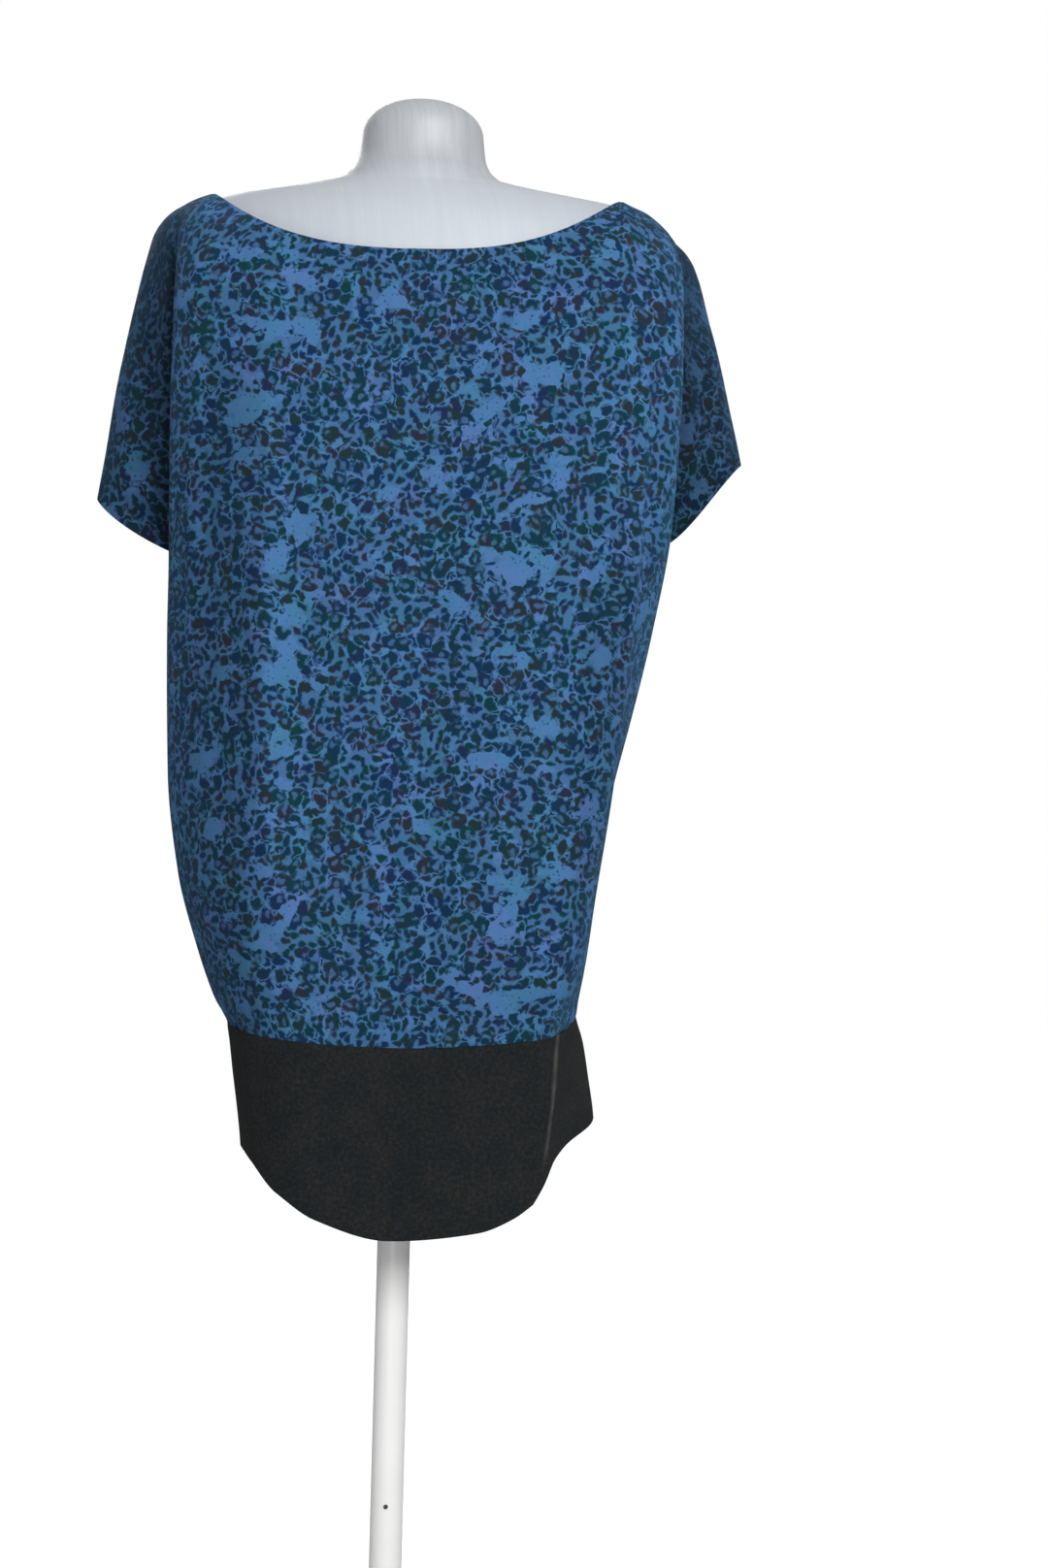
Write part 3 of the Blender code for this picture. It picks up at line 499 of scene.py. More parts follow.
def seam_out(side, share):
    """How far out the overarm seam is after this share of its length."""
    line = OVERARM[side]
    length = np.concatenate(([0], np.cumsum(np.hypot(np.diff(line["out"]), np.diff(line["height"])))))
    return smooth(share * length[-1], length, line["out"])


def seam_share(side, out):
    """The share of the overarm seam's length that lies inside this distance."""
    shares = np.linspace(0, 1, SHARE_STEPS)
    return np.interp(out, seam_out(side, shares), shares)


def shoulder_round(side, out, height):
    """0 on the shoulder line, and 1 where the cloth hangs straight down from it."""
    below = np.clip((seam_height(side, out) - height) / SHOULDER_ROUND, 0, 1)
    return np.sqrt(1 - (1 - below) ** 2)


def fold_open(side, height):
    """0 where the side fold is whole, and 1 where body and sleeve are one smooth round."""
    low, high = FOLD_OPENS[side]
    t = np.clip((height - low) / (high - low), 0, 1)
    return t * t * (3 - 2 * t)


def section(side, face, column, height):
    """The point of a quarter of the section: out from x = 0 and deep from y = 0."""
    rows = SECTIONS[f"{side}_{face}"]
    zero = np.zeros_like(height)
    nodes = [
        (zero, read(MIDDLE[face], "deep", height)),
        (read(rows, "knuckle_out", height), read(rows, "knuckle_deep", height)),
        (read(rows, "fold_out", height), read(rows, "fold_deep", height)),
        (read(HOLLOW[side], "out", height), read(rows, "hollow_deep", height)),
    ]
    chords = [unit(b[0] - a[0], b[1] - a[1]) for a, b in zip(nodes, nodes[1:])]
    opening = fold_open(side, height)
    leans = [
        (zero + 1, zero),
        unit(chords[0][0] + chords[1][0], chords[0][1] + chords[1][1]),
        unit(chords[1][0] + chords[2][0], chords[1][1] + chords[2][1]),
        unit(opening, HOLLOW_LEAN * opening - 1),
    ]
    out = zero
    deep = zero
    for i in range(3):
        start = nodes[i]
        end = nodes[i + 1]
        length = np.hypot(end[0] - start[0], end[1] - start[1])
        t = np.clip(column - i, 0, 1)
        here = (column >= i) & ((column <= i + 1) | (i == 2))
        lean = [(leans[i][k] * length, leans[i + 1][k] * length) for k in (0, 1)]
        piece = [hermite(start[k], end[k], *lean[k], t) for k in (0, 1)]
        out = np.where(here, piece[0], out)
        deep = np.where(here, piece[1], deep)
    return out, deep


def fold_raise(face, x, height):
    """How far the soft folds lift the cloth here."""
    total = np.zeros_like(x)
    rows = FOLDS[face]
    for i in range(len(rows["width"])):
        top = rows["top_z"][i]
        foot = rows["foot_z"][i]
        along = (top - height) / (top - foot)
        line = rows["top_x"][i] + along * (rows["foot_x"][i] - rows["top_x"][i])
        fade = np.sin(math.pi * np.clip(along, 0, 1)) ** FOLD_FADE
        total += rows["raise"][i] * fade * np.exp(-(((x - line) / rows["width"][i]) ** 2))
    return total


def cloth(face, column, height):
    """Points of the tube, from its column, which is below zero on the left, and its height."""
    points = np.zeros(column.shape + (3,))
    for side, sign in SIGN.items():
        out, deep = section(side, face, np.abs(column), height)
        deep = deep * shoulder_round(side, out, height) + fold_raise(face, sign * out, height)
        here = column * sign >= 0
        for axis, value in enumerate((sign * out, deep, height)):
            points[..., axis] = np.where(here, value, points[..., axis])
    points[..., 1] = (points[..., 1] + GAP / 2) * facing(face)
    return points


def facing(face):
    """The sign of y on the garment's back or front."""
    return -1 if face == "back" else 1


def top_height(face, column):
    """The neckline between the neck points, and the shoulder seam outside them."""
    low = NECK_BACK_LOW if face == "back" else NECK_FRONT_LOW
    size = np.abs(column)
    height = np.zeros_like(column)
    for side, sign in SIGN.items():
        point = OVERARM[side]["height"][0]
        neck = low + (point - low) * np.clip(size, 0, 1) ** NECK_CURVE
        seam = np.full_like(column, point)
        for _ in range(SEAM_ROUNDS):
            seam = seam_height(side, section(side, face, np.clip(size, 1, 3), seam)[0])
        here = column * sign >= 0
        height = np.where(here, np.where(size < 1, neck, seam), height)
    return height


def underarm_height(column):
    """The level of the underarms, a little higher towards the right."""
    middle = (UNDERARM_LEFT + UNDERARM_RIGHT) / 2
    return middle + (UNDERARM_RIGHT - middle) * np.sin(column / 3 * math.pi / 2)


def yoke_share(column, row):
    """Rows crowd towards a shoulder seam, where the cloth turns over."""
    near = (np.abs(column) - YOKE_CROWDS_FROM) / (YOKE_CROWDS_TO - YOKE_CROWDS_FROM)
    return row ** (1 + YOKE_CROWDING * np.clip(near, 0, 1))


def sleeve(side, face, hollow, row, column):
    """Points of half a sleeve, from the hollow out to the overarm seam. Row 1 is its hem."""
    first = seam_share(side, HOLLOW[side]["out"][0] + SLEEVE_HEAD)
    edge = seam_out(side, first + (1 - first) * row)
    edge_height = seam_height(side, edge)
    out = np.abs(hollow[..., 0])
    deep = np.abs(hollow[..., 1]) - GAP / 2
    reach = edge - out
    lean = reach * shoulder_round(side, out, hollow[..., 2])
    bow = np.sin(math.pi * column)
    x = hermite(out, edge, reach, SLEEVE_REACHES_OUT * reach, column)
    leaves = SLEEVE_LEAVES_DEEP + (HEAD_LEAVES_DEEP - SLEEVE_LEAVES_DEEP) * fold_open(side, hollow[..., 2])
    y = hermite(deep, 0, leaves * lean, SLEEVE_REACHES_DEEP * lean, column)
    y = y + SLEEVE_PUFF * row**SLEEVE_PUFF_POWER * bow
    z = hollow[..., 2] + (edge_height - hollow[..., 2]) * (x - out) / reach
    head = np.clip(1 - row / SLEEVE_HEAD_SHARE, 0, 1) * column**2 * (3 - 2 * column)
    z = z + (seam_height(side, x) - z) * head
    sag = CUFF_SAG_LEFT * bow if side == "left" else CUFF_SAG_RIGHT * bow * (1 - column) ** 2
    lift = CUFF_FRONT_LIFT * bow if face == "front" else 0
    z = z + (lift - sag) * row**2
    y = (y + GAP / 2) * facing(face)
    return np.stack((SIGN[side] * x, y, z), axis=-1)


def columns_across():
    """Columns from side seam to side seam."""
    inner = np.arange(NECK_COLUMNS) / NECK_COLUMNS
    outer = 1 + 2 * np.arange(2 * SIDE_COLUMNS + 1) / (2 * SIDE_COLUMNS)
    right = np.concatenate((inner, outer))
    return np.concatenate((-right[:0:-1], right))


def rows_down(count, length, first_edge, last_edge):
    """Rows from 0 to 1, with close ones along an edge that is turned or sewn."""
    close = np.array(EDGE_ROWS) / length
    start = close if first_edge else np.array([0.0])
    end = 1 - close[::-1] if last_edge else np.array([1.0])
    between = np.linspace(start[-1], end[0], count + 1)[1:-1]
    return np.concatenate((start, between, end))


# Cloth as a thin shell
def soft_lines(rows, x, z):
    """How far a table of bent soft lines lifts the cloth at x, z."""
    total = np.zeros_like(x)
    for i in range(len(rows["raise"])):
        top_z = rows["top_z"][i]
        foot_z = rows["foot_z"][i]
        spots = (rows["top_z"][i], rows["bend_z"][i], rows["foot_z"][i])
        places = (rows["top_x"][i], rows["bend_x"][i], rows["foot_x"][i])
        line = smooth(z, np.array(spots), np.array(places))
        along = np.clip((top_z - z) / (top_z - foot_z), 0, 1)
        fade = np.sin(math.pi * along) ** FOLD_FADE
        away = x - line
        width = np.where(away < 0, rows["left"][i], rows["right"][i])
        total += rows["raise"][i] * fade * np.exp(-((away / width) ** 2))
    return total


def puckers(run, distance):
    """Small waves beside the band's seam, at a run along it and a distance from it."""
    total = np.zeros_like(run)
    for spacing, depth, phase in zip(PUCKERS["spacing"], PUCKERS["depth"], PUCKERS["phase"]):
        total += depth * np.sin(2 * math.pi * run / spacing + phase + PUCKER_DRIFT * np.sin(run / spacing))
    return total * np.exp(-((distance / PUCKER_REACH) ** 2))


def line_distance(points, line):
    """How far each point is from a line through many points, read as LINE_REACH where it is farther."""
    step = np.diff(line, axis=0)
    size = (step**2).sum(axis=1)
    best = np.full(len(points), LINE_REACH**2)
    long = size > 0
    for a, d, s in zip(line[:-1][long], step[long], size[long]):
        near = np.flatnonzero(np.abs(points - a).max(axis=1) < LINE_REACH)
        away = points[near] - a
        t = np.clip(away @ d / s, 0, 1)
        best[near] = np.minimum(best[near], ((away - t[:, None] * d) ** 2).sum(axis=1))
    return np.sqrt(best)


def point_normals(points, quads):
    """Unit normals of the points of a net of quads."""
    a, b, c, d = (points[quads[:, k]] for k in range(4))
    normal = np.cross(c - a, d - b)
    total = np.zeros_like(points)
    for k in range(4):
        np.add.at(total, quads[:, k], normal)
    return total / np.linalg.norm(total, axis=1)[:, None]


class Net:
    """The outer side of one cut piece of cloth, as grids of points that share edges."""

    def __init__(self, face):
        self.face = face
        self.points = np.zeros((0, 3))
        self.keep = np.zeros((0, 3))
        self.quads = np.zeros((0, 4), dtype=int)

    def add(self, points, keep, first_column=None, turned_round=False):
        """Adds a grid and returns its numbers. Its first column may be an earlier grid's."""
        skip = 0 if first_column is None else 1
        rows, columns = points.shape[:2]
        fresh = rows * (columns - skip)
        numbers = len(self.points) + np.arange(fresh).reshape(rows, columns - skip)
        if skip:
            numbers = np.concatenate((first_column[:, None], numbers), axis=1)
        self.points = np.concatenate((self.points, points[:, skip:].reshape(-1, 3)))
        self.keep = np.concatenate((self.keep, keep[:, skip:].reshape(-1, 3)))
        corners = (numbers[:-1, :-1], numbers[:-1, 1:], numbers[1:, 1:], numbers[1:, :-1])
        quads = np.stack([c.ravel() for c in corners], axis=1)
        if turned_round:
            quads = quads[:, ::-1]
        self.quads = np.concatenate((self.quads, quads))
        return numbers

    def face_outward(self):
        """Turns the net's outer side away from the form."""
        normals = point_normals(self.points, self.quads)
        if normals[:, 1].mean() * facing(self.face) < 0:
            self.quads = self.quads[:, ::-1]

    def lift(self, amount):
        """Moves each point out by its amount, and leaves the edges in their planes."""
        self.points = self.points + point_normals(self.points, self.quads) * self.keep * amount[:, None]


FREE = np.array((1.0, 1.0, 1.0))
SIDE_SEAM = np.array((1.0, 0.0, 1.0))
LEVEL_SEAM = np.array((1.0, 1.0, 0.0))


def sewn_net(face, grids, keeps):
    """One net of the body's grid and of the sleeves beside its upper rows, with each grid's numbers."""
    net = Net(face)
    numbers = {"body": net.add(grids["body"], keeps["body"])}
    for side, last in OUTER_COLUMN.items():
        if side in grids:
            hollow = numbers["body"][: len(grids[side]), last]
            numbers[side] = net.add(grids[side], keeps[side], hollow, side == "left")
    net.face_outward()
    return net, numbers


def every(count):
    """Some of the rows or columns, COARSE_STEP apart, and the last."""
    return np.unique(np.append(np.arange(0, count, COARSE_STEP), count - 1))


def path_length(points):
    """The length of a line of points, up to each of them."""
    return np.concatenate(([0], np.cumsum(np.linalg.norm(np.diff(points, axis=0), axis=1))))


def fill_between(points, rows, columns, flat):
    """Flat places of a whole grid of points, from those at some of its rows and columns."""
    tall = np.zeros((len(points), len(columns), 2))
    for k, column in enumerate(columns):
        run = path_length(points[:, column])
        for axis in (0, 1):
            tall[:, k, axis] = np.interp(run, run[rows], flat[:, k, axis])
    full = np.zeros(points.shape[:2] + (2,))
    for j in range(len(points)):
        run = path_length(points[j])
        for axis in (0, 1):
            full[j, :, axis] = np.interp(run, run[columns], tall[j, :, axis])
    return full


def unwrapped(name, points, quads):
    """A net of quads laid flat, at any size."""
    mesh = bpy.data.meshes.new(name)
    mesh.from_pydata(points.tolist(), [], quads.tolist())
    mesh.uv_layers.new(name="flat")
    piece = placed(name, mesh)
    bpy.context.view_layer.objects.active = piece
    piece.select_set(True)
    bpy.ops.object.mode_set(mode="EDIT")
    bpy.ops.mesh.select_all(action="SELECT")
    bpy.ops.uv.unwrap(method="MINIMUM_STRETCH", margin=0)
    bpy.ops.object.mode_set(mode="OBJECT")
    loops = np.zeros(len(mesh.loops) * 2)
    mesh.uv_layers["flat"].data.foreach_get("uv", loops)
    flat = np.zeros((len(points), 2))
    flat[quads.ravel()] = loops.reshape(-1, 2)
    bpy.data.objects.remove(piece)
    bpy.data.meshes.remove(mesh)
    return flat


def flat_cut(face, grids, keeps, net, numbers):
    """The cut piece laid flat in metres, its middle upright: a coarse net is flattened and filled in."""
    yoke = len(grids.get("left", grids["body"]))
    rows = np.union1d(every(yoke), every(len(grids["body"])))
    spots = {}
    for label, grid in grids.items():
        spots[label] = (rows[rows < len(grid)], every(grid.shape[1]))
    coarse = {label: grid[np.ix_(*spots[label])] for label, grid in grids.items()}
    coarse_keeps = {label: keep[np.ix_(*spots[label])] for label, keep in keeps.items()}
    coarse_net, coarse_numbers = sewn_net(face, coarse, coarse_keeps)
    laid = unwrapped(f"{face}_cut", coarse_net.points, coarse_net.quads)
    flat = np.zeros((len(net.points), 2))
    for label, grid in grids.items():
        flat[numbers[label]] = fill_between(grid, *spots[label], laid[coarse_numbers[label]])
    centre = grids["body"].shape[1] // 2
    return level_cut(flat, net.points, net.quads, numbers["body"][0, centre], numbers["body"][-1, centre])


def quad_area(points, quads):
    """The area of a net of quads, in space or laid flat."""
    a, b, c, d = (points[quads[:, k]] for k in range(4))
    if points.shape[1] == 2:
        p = c - a
        q = d - b
        return np.abs(p[:, 0] * q[:, 1] - p[:, 1] * q[:, 0]).sum() / 2
    return np.linalg.norm(np.cross(c - a, d - b), axis=1).sum() / 2


def level_cut(flat, points, quads, upper, lower):
    """Turns and scales the flat piece: real size, with upper straight above lower."""
    flat = flat * math.sqrt(quad_area(points, quads) / quad_area(flat, quads))
    way = flat[upper] - flat[lower]
    turn = math.atan2(way[0], way[1])
    c = math.cos(turn)
    s = math.sin(turn)
    flat = (flat - flat[lower]) @ np.array(((c, s), (-s, c)))
    a, b, d = (flat[quads[:, k]] for k in (0, 1, 3))
    wound = ((b - a)[:, 0] * (d - a)[:, 1] - (b - a)[:, 1] * (d - a)[:, 0]).mean()
    if wound < 0:
        flat[:, 0] = -flat[:, 0]
    return flat


def turned_edge(distance, turn):
    """Depths of the outer and inner side beside an edge turned under by turn."""
    inside = np.clip(EDGE_RADIUS - distance, 0, EDGE_RADIUS)
    dip = EDGE_RADIUS - np.sqrt(EDGE_RADIUS**2 - inside**2)
    dip = np.minimum(dip, EDGE_RADIUS * (1 - EDGE_FLAT))
    step = np.clip((distance - turn) / TURN_STEP, 0, 1)
    double = 2 * EDGE_RADIUS - dip
    return dip, double + (JERSEY - double) * step


def thin_shell(name, net, flat, turned, dips, outside, inside):
    """A closed thin shell inward from the net. Turned holds (line, turn), dips (line, depth, width)."""
    points = net.points
    normals = point_normals(points, net.quads) * net.keep
    normals /= np.linalg.norm(normals, axis=1)[:, None]
    outer = np.zeros(len(points))
    inner = np.full(len(points), JERSEY)
    for line, turn in turned:
        distance = line_distance(points, line)
        near = distance < turn + TURN_STEP
        dip, double = turned_edge(distance, turn)
        outer = np.where(near, np.maximum(outer, dip), outer)
        inner = np.where(near, np.maximum(inner, double), inner)
    for line, depth, width in dips:
        dip = depth * np.exp(-((line_distance(points, line) / width) ** 2))
        outer = np.maximum(outer, dip)
        inner = np.maximum(inner, JERSEY + dip / 2)
    both = np.concatenate((points - normals * outer[:, None], points - normals * inner[:, None]))
    count = len(points)
    quads = net.quads
    pairs = np.concatenate([quads[:, (k, (k + 1) % 4)] for k in range(4)])
    there = set(map(tuple, pairs.tolist()))
    rim = np.array([(b, a, a + count, b + count) for a, b in there if (b, a) not in there])
    rim = rim[np.lexsort((rim[:, 1], rim[:, 0]))]
    faces = np.concatenate((quads, quads[:, ::-1] + count, rim))
    mesh = bpy.data.meshes.new(name)
    mesh.from_pydata(both.tolist(), [], faces.tolist())
    layer = mesh.uv_layers.new(name="cut")
    layer.data.foreach_set("uv", np.concatenate((flat, flat))[faces.ravel()].ravel())
    piece = new_piece(name, mesh, outside, inside)
    slots = np.zeros(len(faces), dtype=np.int32)
    slots[len(quads) : 2 * len(quads)] = 1
    mesh.polygons.foreach_set("material_index", slots)
    return piece


def panel_body(face, column, upper):
    """The panel without its sleeves: a grid of points, and how each point may move."""
    lower = rows_down(BODY_ROWS, BODY_LENGTH, False, True)[1:]
    top = top_height(face, column)
    middle = underarm_height(column)
    foot = smooth(column, BAND_SEAM[face]["column"], BAND_SEAM[face]["height"]) + SEAM_GAP / 2
    height = [top - (top - middle) * yoke_share(column, v) for v in upper]
    height += [middle - (middle - foot) * v for v in lower]
    height = np.array(height)
    points = cloth(face, np.broadcast_to(column, height.shape), height)
    keep = np.tile(FREE, points.shape[:2] + (1,))
    shoulder = np.abs(column) >= 1
    below = len(upper) - 1
    keep[0, shoulder] = SIDE_SEAM
    keep[below:, (0, -1)] = SIDE_SEAM
    keep[-1] *= LEVEL_SEAM
    points[below:, (0, -1), 1] = SEAM_GAP / 2 * facing(face)
    points[0, shoulder, 1] = SEAM_GAP / 2 * facing(face)
    return points, keep


def half_sleeve(side, face, body, upper):
    """A half sleeve that grows on the body's outer column: a grid of points, and how each may move."""
    row, share = np.meshgrid(upper, np.linspace(0, 1, SLEEVE_COLUMNS + 1), indexing="ij")
    row = yoke_share(np.full_like(row, 3.0), row)
    start = body[: len(upper), OUTER_COLUMN[side]]
    points = sleeve(side, face, np.repeat(start[:, None], SLEEVE_COLUMNS + 1, axis=1), row, share)
    points[0, 1:, 1] = SEAM_GAP / 2 * facing(face)
    points[:, -1, 1] = SEAM_GAP / 2 * facing(face)
    points[:, 0] = start
    keep = np.tile(FREE, points.shape[:2] + (1,))
    keep[0] = SIDE_SEAM
    keep[:, -1] = SIDE_SEAM
    return points, keep


def panel_edges(column, below, numbers):
    """The numbers of the points along each edge and seam of a panel, whose sleeves end at row below."""
    body = numbers["body"]
    edges = {"neck": body[0, np.abs(column) <= 1], "band": body[-1]}
    for side, sign in SIGN.items():
        half = numbers[side]
        edges[f"{side}_cuff"] = half[-1]
        edges[f"{side}_seam"] = np.concatenate((half[:, -1][::-1], half[0][::-1]))
        edges[f"{side}_shoulder"] = body[0, sign * column >= 1]
        edges[f"{side}_side"] = body[below:, OUTER_COLUMN[side]]
    return edges


def panel_cloth(face, outside, inside):
    """Back or front with its two half sleeves, in fine mesh, with its creases and turned edges."""
    column = columns_across()
    upper = rows_down(YOKE_ROWS, YOKE_LENGTH, True, True)
    grids = {}
    keeps = {}
    grids["body"], keeps["body"] = panel_body(face, column, upper)
    for side in SIGN:
        grids[side], keeps[side] = half_sleeve(side, face, grids["body"], upper)
    net, numbers = sewn_net(face, grids, keeps)
    flat = flat_cut(face, grids, keeps, net, numbers)
    edges = panel_edges(column, len(upper) - 1, numbers)

    to_band = line_distance(net.points, net.points[edges["band"]])
    creases = soft_lines(CREASES[face], net.points[:, 0], net.points[:, 2])
    calm = np.ones(len(net.points))
    for name in ("neck", "left_cuff", "right_cuff", "left_side", "right_side"):
        distance = line_distance(net.points, net.points[edges[name]])
        calm *= 1 - np.exp(-((distance / EDGE_CALM) ** 2))
    net.lift((creases + puckers(flat[:, 0], to_band)) * calm)

    lines = {name: net.points[edge] for name, edge in edges.items()}
    turns = (("neck", TURNED_NECK), ("left_cuff", TURNED_CUFF), ("right_cuff", TURNED_CUFF))
    turned = [(lines[name], turn) for name, turn in turns]
    seams = [f"{side}_{seam}" for seam in ("seam", "shoulder", "side") for side in SIGN]
    dips = [(lines[name], SEAM_DIP, SEAM_DIP_WIDTH) for name in seams]
    dips.append((lines["band"], BAND_DIP, BAND_DIP_WIDTH))
    return thin_shell(f"{face}_cloth", net, flat, turned, dips, outside, inside)


def band_cloth(face, outside, inside):
    """Half of the hem band, in fine mesh."""
    column = columns_across()
    top = smooth(column, BAND_SEAM[face]["column"], BAND_SEAM[face]["height"]) - SEAM_GAP / 2
    foot = smooth(column, HEM[face]["column"], HEM[face]["height"])
    row = rows_down(BAND_ROWS, BAND_LENGTH, True, True)[:, None]
    height = top - (top - foot) * row
    points = cloth(face, np.broadcast_to(column, height.shape), height)
    keep = np.tile(FREE, points.shape[:2] + (1,))
    keep[:, (0, -1)] = SIDE_SEAM
    keep[0] *= LEVEL_SEAM
    points[:, (0, -1), 1] = SEAM_GAP / 2 * facing(face)
    grids = {"body": points}
    keeps = {"body": keep}
    net, numbers = sewn_net(face, grids, keeps)
    body = numbers["body"]
    flat = flat_cut(face, grids, keeps, net, numbers)
    to_seam = line_distance(net.points, net.points[body[0]])
    waves = soft_lines(BAND_WAVES[face], net.points[:, 0], net.points[:, 2])
    net.lift(waves - puckers(flat[:, 0], to_seam) * BAND_PUCKER_SHARE)
    turned = [(net.points[body[-1]], TURNED_HEM)]
    dips = [(net.points[body[:, k]], SEAM_DIP, SEAM_DIP_WIDTH) for k in (0, -1)]
    dips.append((net.points[body[0]], BAND_DIP, BAND_DIP_WIDTH))
    return thin_shell(f"hem_band_{face}_cloth", net, flat, turned, dips, outside, inside)


# The form and the stand
def form_ring(half_width, back, front, power, height):
    """One section of the dress form: a rounded oval, deeper behind or in front."""
    angle = np.linspace(0, 2 * math.pi, FORM_SEGMENTS, endpoint=False)
    c = np.cos(angle)
    s = np.sin(angle)
    x = half_width * np.sign(c) * np.abs(c) ** (2 / power)
    y = np.where(s > 0, front, back) * np.sign(s) * np.abs(s) ** (2 / power)
    return np.stack((x, y, np.full_like(x, height)), axis=1)


def form_sizes(height):
    """The form's half width, its depth behind and in front, and how square it is, at this height."""
    return [float(read(FORM, name, height)) for name in FORM_SIZES]


def form_cover(look):
    """The torso under its cover, as one smooth closed body with a domed neck."""
    width, back, front, power = (FORM[name][0] for name in FORM_SIZES)
    lean = (front - back) / 2
    rings = []
    for i in range(1, DOME_ROWS):
        angle = math.pi / 2 * i / DOME_ROWS
        shrink = math.sin(angle)
        deep = (front + back) / 2 * shrink
        height = NECK_TOP - NECK_DOME * (1 - math.cos(angle))
        rings.append(form_ring(width * shrink, deep - lean, deep + lean, power, height))
    tall = FORM["height"]
    for upper, lower in zip(tall[:-1], tall[1:]):
        steps = max(1, math.ceil((upper - lower) / FORM_ROW))
        for n in range(steps):
            height = upper + (lower - upper) * n / steps
            if height > FORM_BOTTOM + FORM_ROUND:
                rings.append(form_ring(*form_sizes(height), height))
    for i in range(ROUND_ROWS + 1):
        angle = math.pi / 2 * i / ROUND_ROWS
        inset = FORM_ROUND * (1 - math.cos(angle))
        height = FORM_BOTTOM + FORM_ROUND * (1 - math.sin(angle))
        half, rear, fore, power = form_sizes(height)
        rings.append(form_ring(half - inset, rear - inset, fore - inset, power, height))
    points = np.concatenate(rings)
    crown = len(points)
    points = np.concatenate((points, [(0, lean, NECK_TOP), (0, 0, FORM_BOTTOM)]))
    faces = []
    count = FORM_SEGMENTS
    for j in range(len(rings) - 1):
        for i in range(count):
            k = (i + 1) % count
            faces.append((j * count + i, (j + 1) * count + i, (j + 1) * count + k, j * count + k))
    last = (len(rings) - 1) * count
    for i in range(count):
        k = (i + 1) % count
        faces.append((crown, i, k))
        faces.append((crown + 1, last + k, last + i))
    mesh = bpy.data.meshes.new("form_cover")
    mesh.from_pydata(points.tolist(), [], faces)
    return new_piece("form_cover", mesh, look)


def rounded(profile, radius):
    """The profile with each inner corner as an arc of about this radius."""
    points = [Vector(p) for p in profile]
    made = [points[0]]
    for before, corner, after in zip(points, points[1:], points[2:]):
        back = before - corner
        fore = after - corner
        reach = min(radius, back.length / CORNER_PARTS, fore.length / CORNER_PARTS)
        a = corner + back.normalized() * reach
        b = corner + fore.normalized() * reach
        for i in range(CORNER_STEPS + 1):
            t = i / CORNER_STEPS
            made.append(a * (1 - t) ** 2 + corner * 2 * t * (1 - t) + b * t**2)
    made.append(points[-1])
    return made


def turned(name, profile, look, spot=(0, 0, 0), tilt=(0, 0, 0)):
    """A round piece: the profile is (radius, height) points, its ends on the axis or met by each other."""
    builder = bmesh.new()
    verts = [builder.verts.new((p[0], 0, p[1])) for p in profile]
    pairs = list(zip(verts, verts[1:]))
    if profile[0][0] > 0:
        pairs.append((verts[-1], verts[0]))
    edges = [builder.edges.new(pair) for pair in pairs]
    bmesh.ops.spin(
        builder, geom=verts + edges, cent=(0, 0, 0), axis=(0, 0, 1), angle=2 * math.pi, steps=TURNED_STEPS
    )
    bmesh.ops.remove_doubles(builder, verts=builder.verts, dist=WELD)
    bmesh.ops.recalc_face_normals(builder, faces=builder.faces)
    mesh = bpy.data.meshes.new(name)
    builder.to_mesh(mesh)
    builder.free()
    piece = new_piece(name, mesh, look)
    mesh.set_sharp_from_angle(angle=math.radians(SHARP_FROM))
    piece.location = spot
    piece.rotation_euler = tilt
    return piece


def socket_sleeve(look):
    """The flanged sleeve under the form that takes the pole."""
    under = SOCKET_TOP - SOCKET_FLANGE
    mouth = under - SOCKET_LENGTH
    profile = (
        (0, SOCKET_TOP),
        (SOCKET_FLANGE_RADIUS, SOCKET_TOP),
        (SOCKET_FLANGE_RADIUS, under),
        (SOCKET_RADIUS, under),
        (SOCKET_RADIUS, mouth),
        (BORE, mouth),
        (BORE, SOCKET_INSIDE),
        (0, SOCKET_INSIDE),
    )
    return turned("socket_sleeve", rounded(profile, SOCKET_CORNER), look)


def pole_tube(look):
    """The pole, from inside the boss up into the socket."""
    top = SOCKET_INSIDE - GAP
    foot = BORE_FLOOR + GAP
    profile = ((0, top), (POLE_RADIUS, top), (POLE_RADIUS, foot), (0, foot))
    return turned("pole_tube", rounded(profile, POLE_CORNER), look)


def foot_plate(look):
    """The round foot, thin at its rim."""
    radius = BASE["radius"]
    rim = radius[-1]
    out = np.linspace(radius[0], rim, BASE_STEPS)
    profile = (
        (0, BORE_FLOOR),
        (BORE, BORE_FLOOR),
        (BORE, BASE["height"][0]),
        *((r, float(smooth(r, radius, BASE["height"]))) for r in out),
        (rim, BASE_BEVEL),
        (rim - BASE_BEVEL, 0),
        (0, 0),
    )
    return turned("foot_plate", rounded(profile, FOOT_CORNER), look)


def foot_boss(look):
    """The collar round the pole on the foot, flared below."""
    low = BASE["height"][0] + GAP
    profile = (
        (BORE, low),
        (BORE, BOSS_TOP),
        (BOSS_RADIUS, BOSS_TOP),
        (BOSS_RADIUS, low + BOSS_FLARE),
        (BOSS_RADIUS + BOSS_FLARE, low),
        (BORE, low),
    )
    ring = rounded(profile, BOSS_CORNER)[:-1]
    return turned("foot_boss", ring, look)


def height_button(look):
    """The small button low on the pole, on the garment's back side, that locks its height."""
    profile = ((0, BUTTON_STAND), (BUTTON_RADIUS, BUTTON_STAND), (BUTTON_RADIUS, 0), (0, 0))
    spot = (0, -POLE_RADIUS - GAP, BUTTON_HEIGHT)
    return turned("height_button", rounded(profile, BUTTON_CORNER), look, spot, (math.pi / 2, 0, 0))


# Node helpers
FLOAT = "NodeSocketFloat"
VECTOR = "NodeSocketVector"


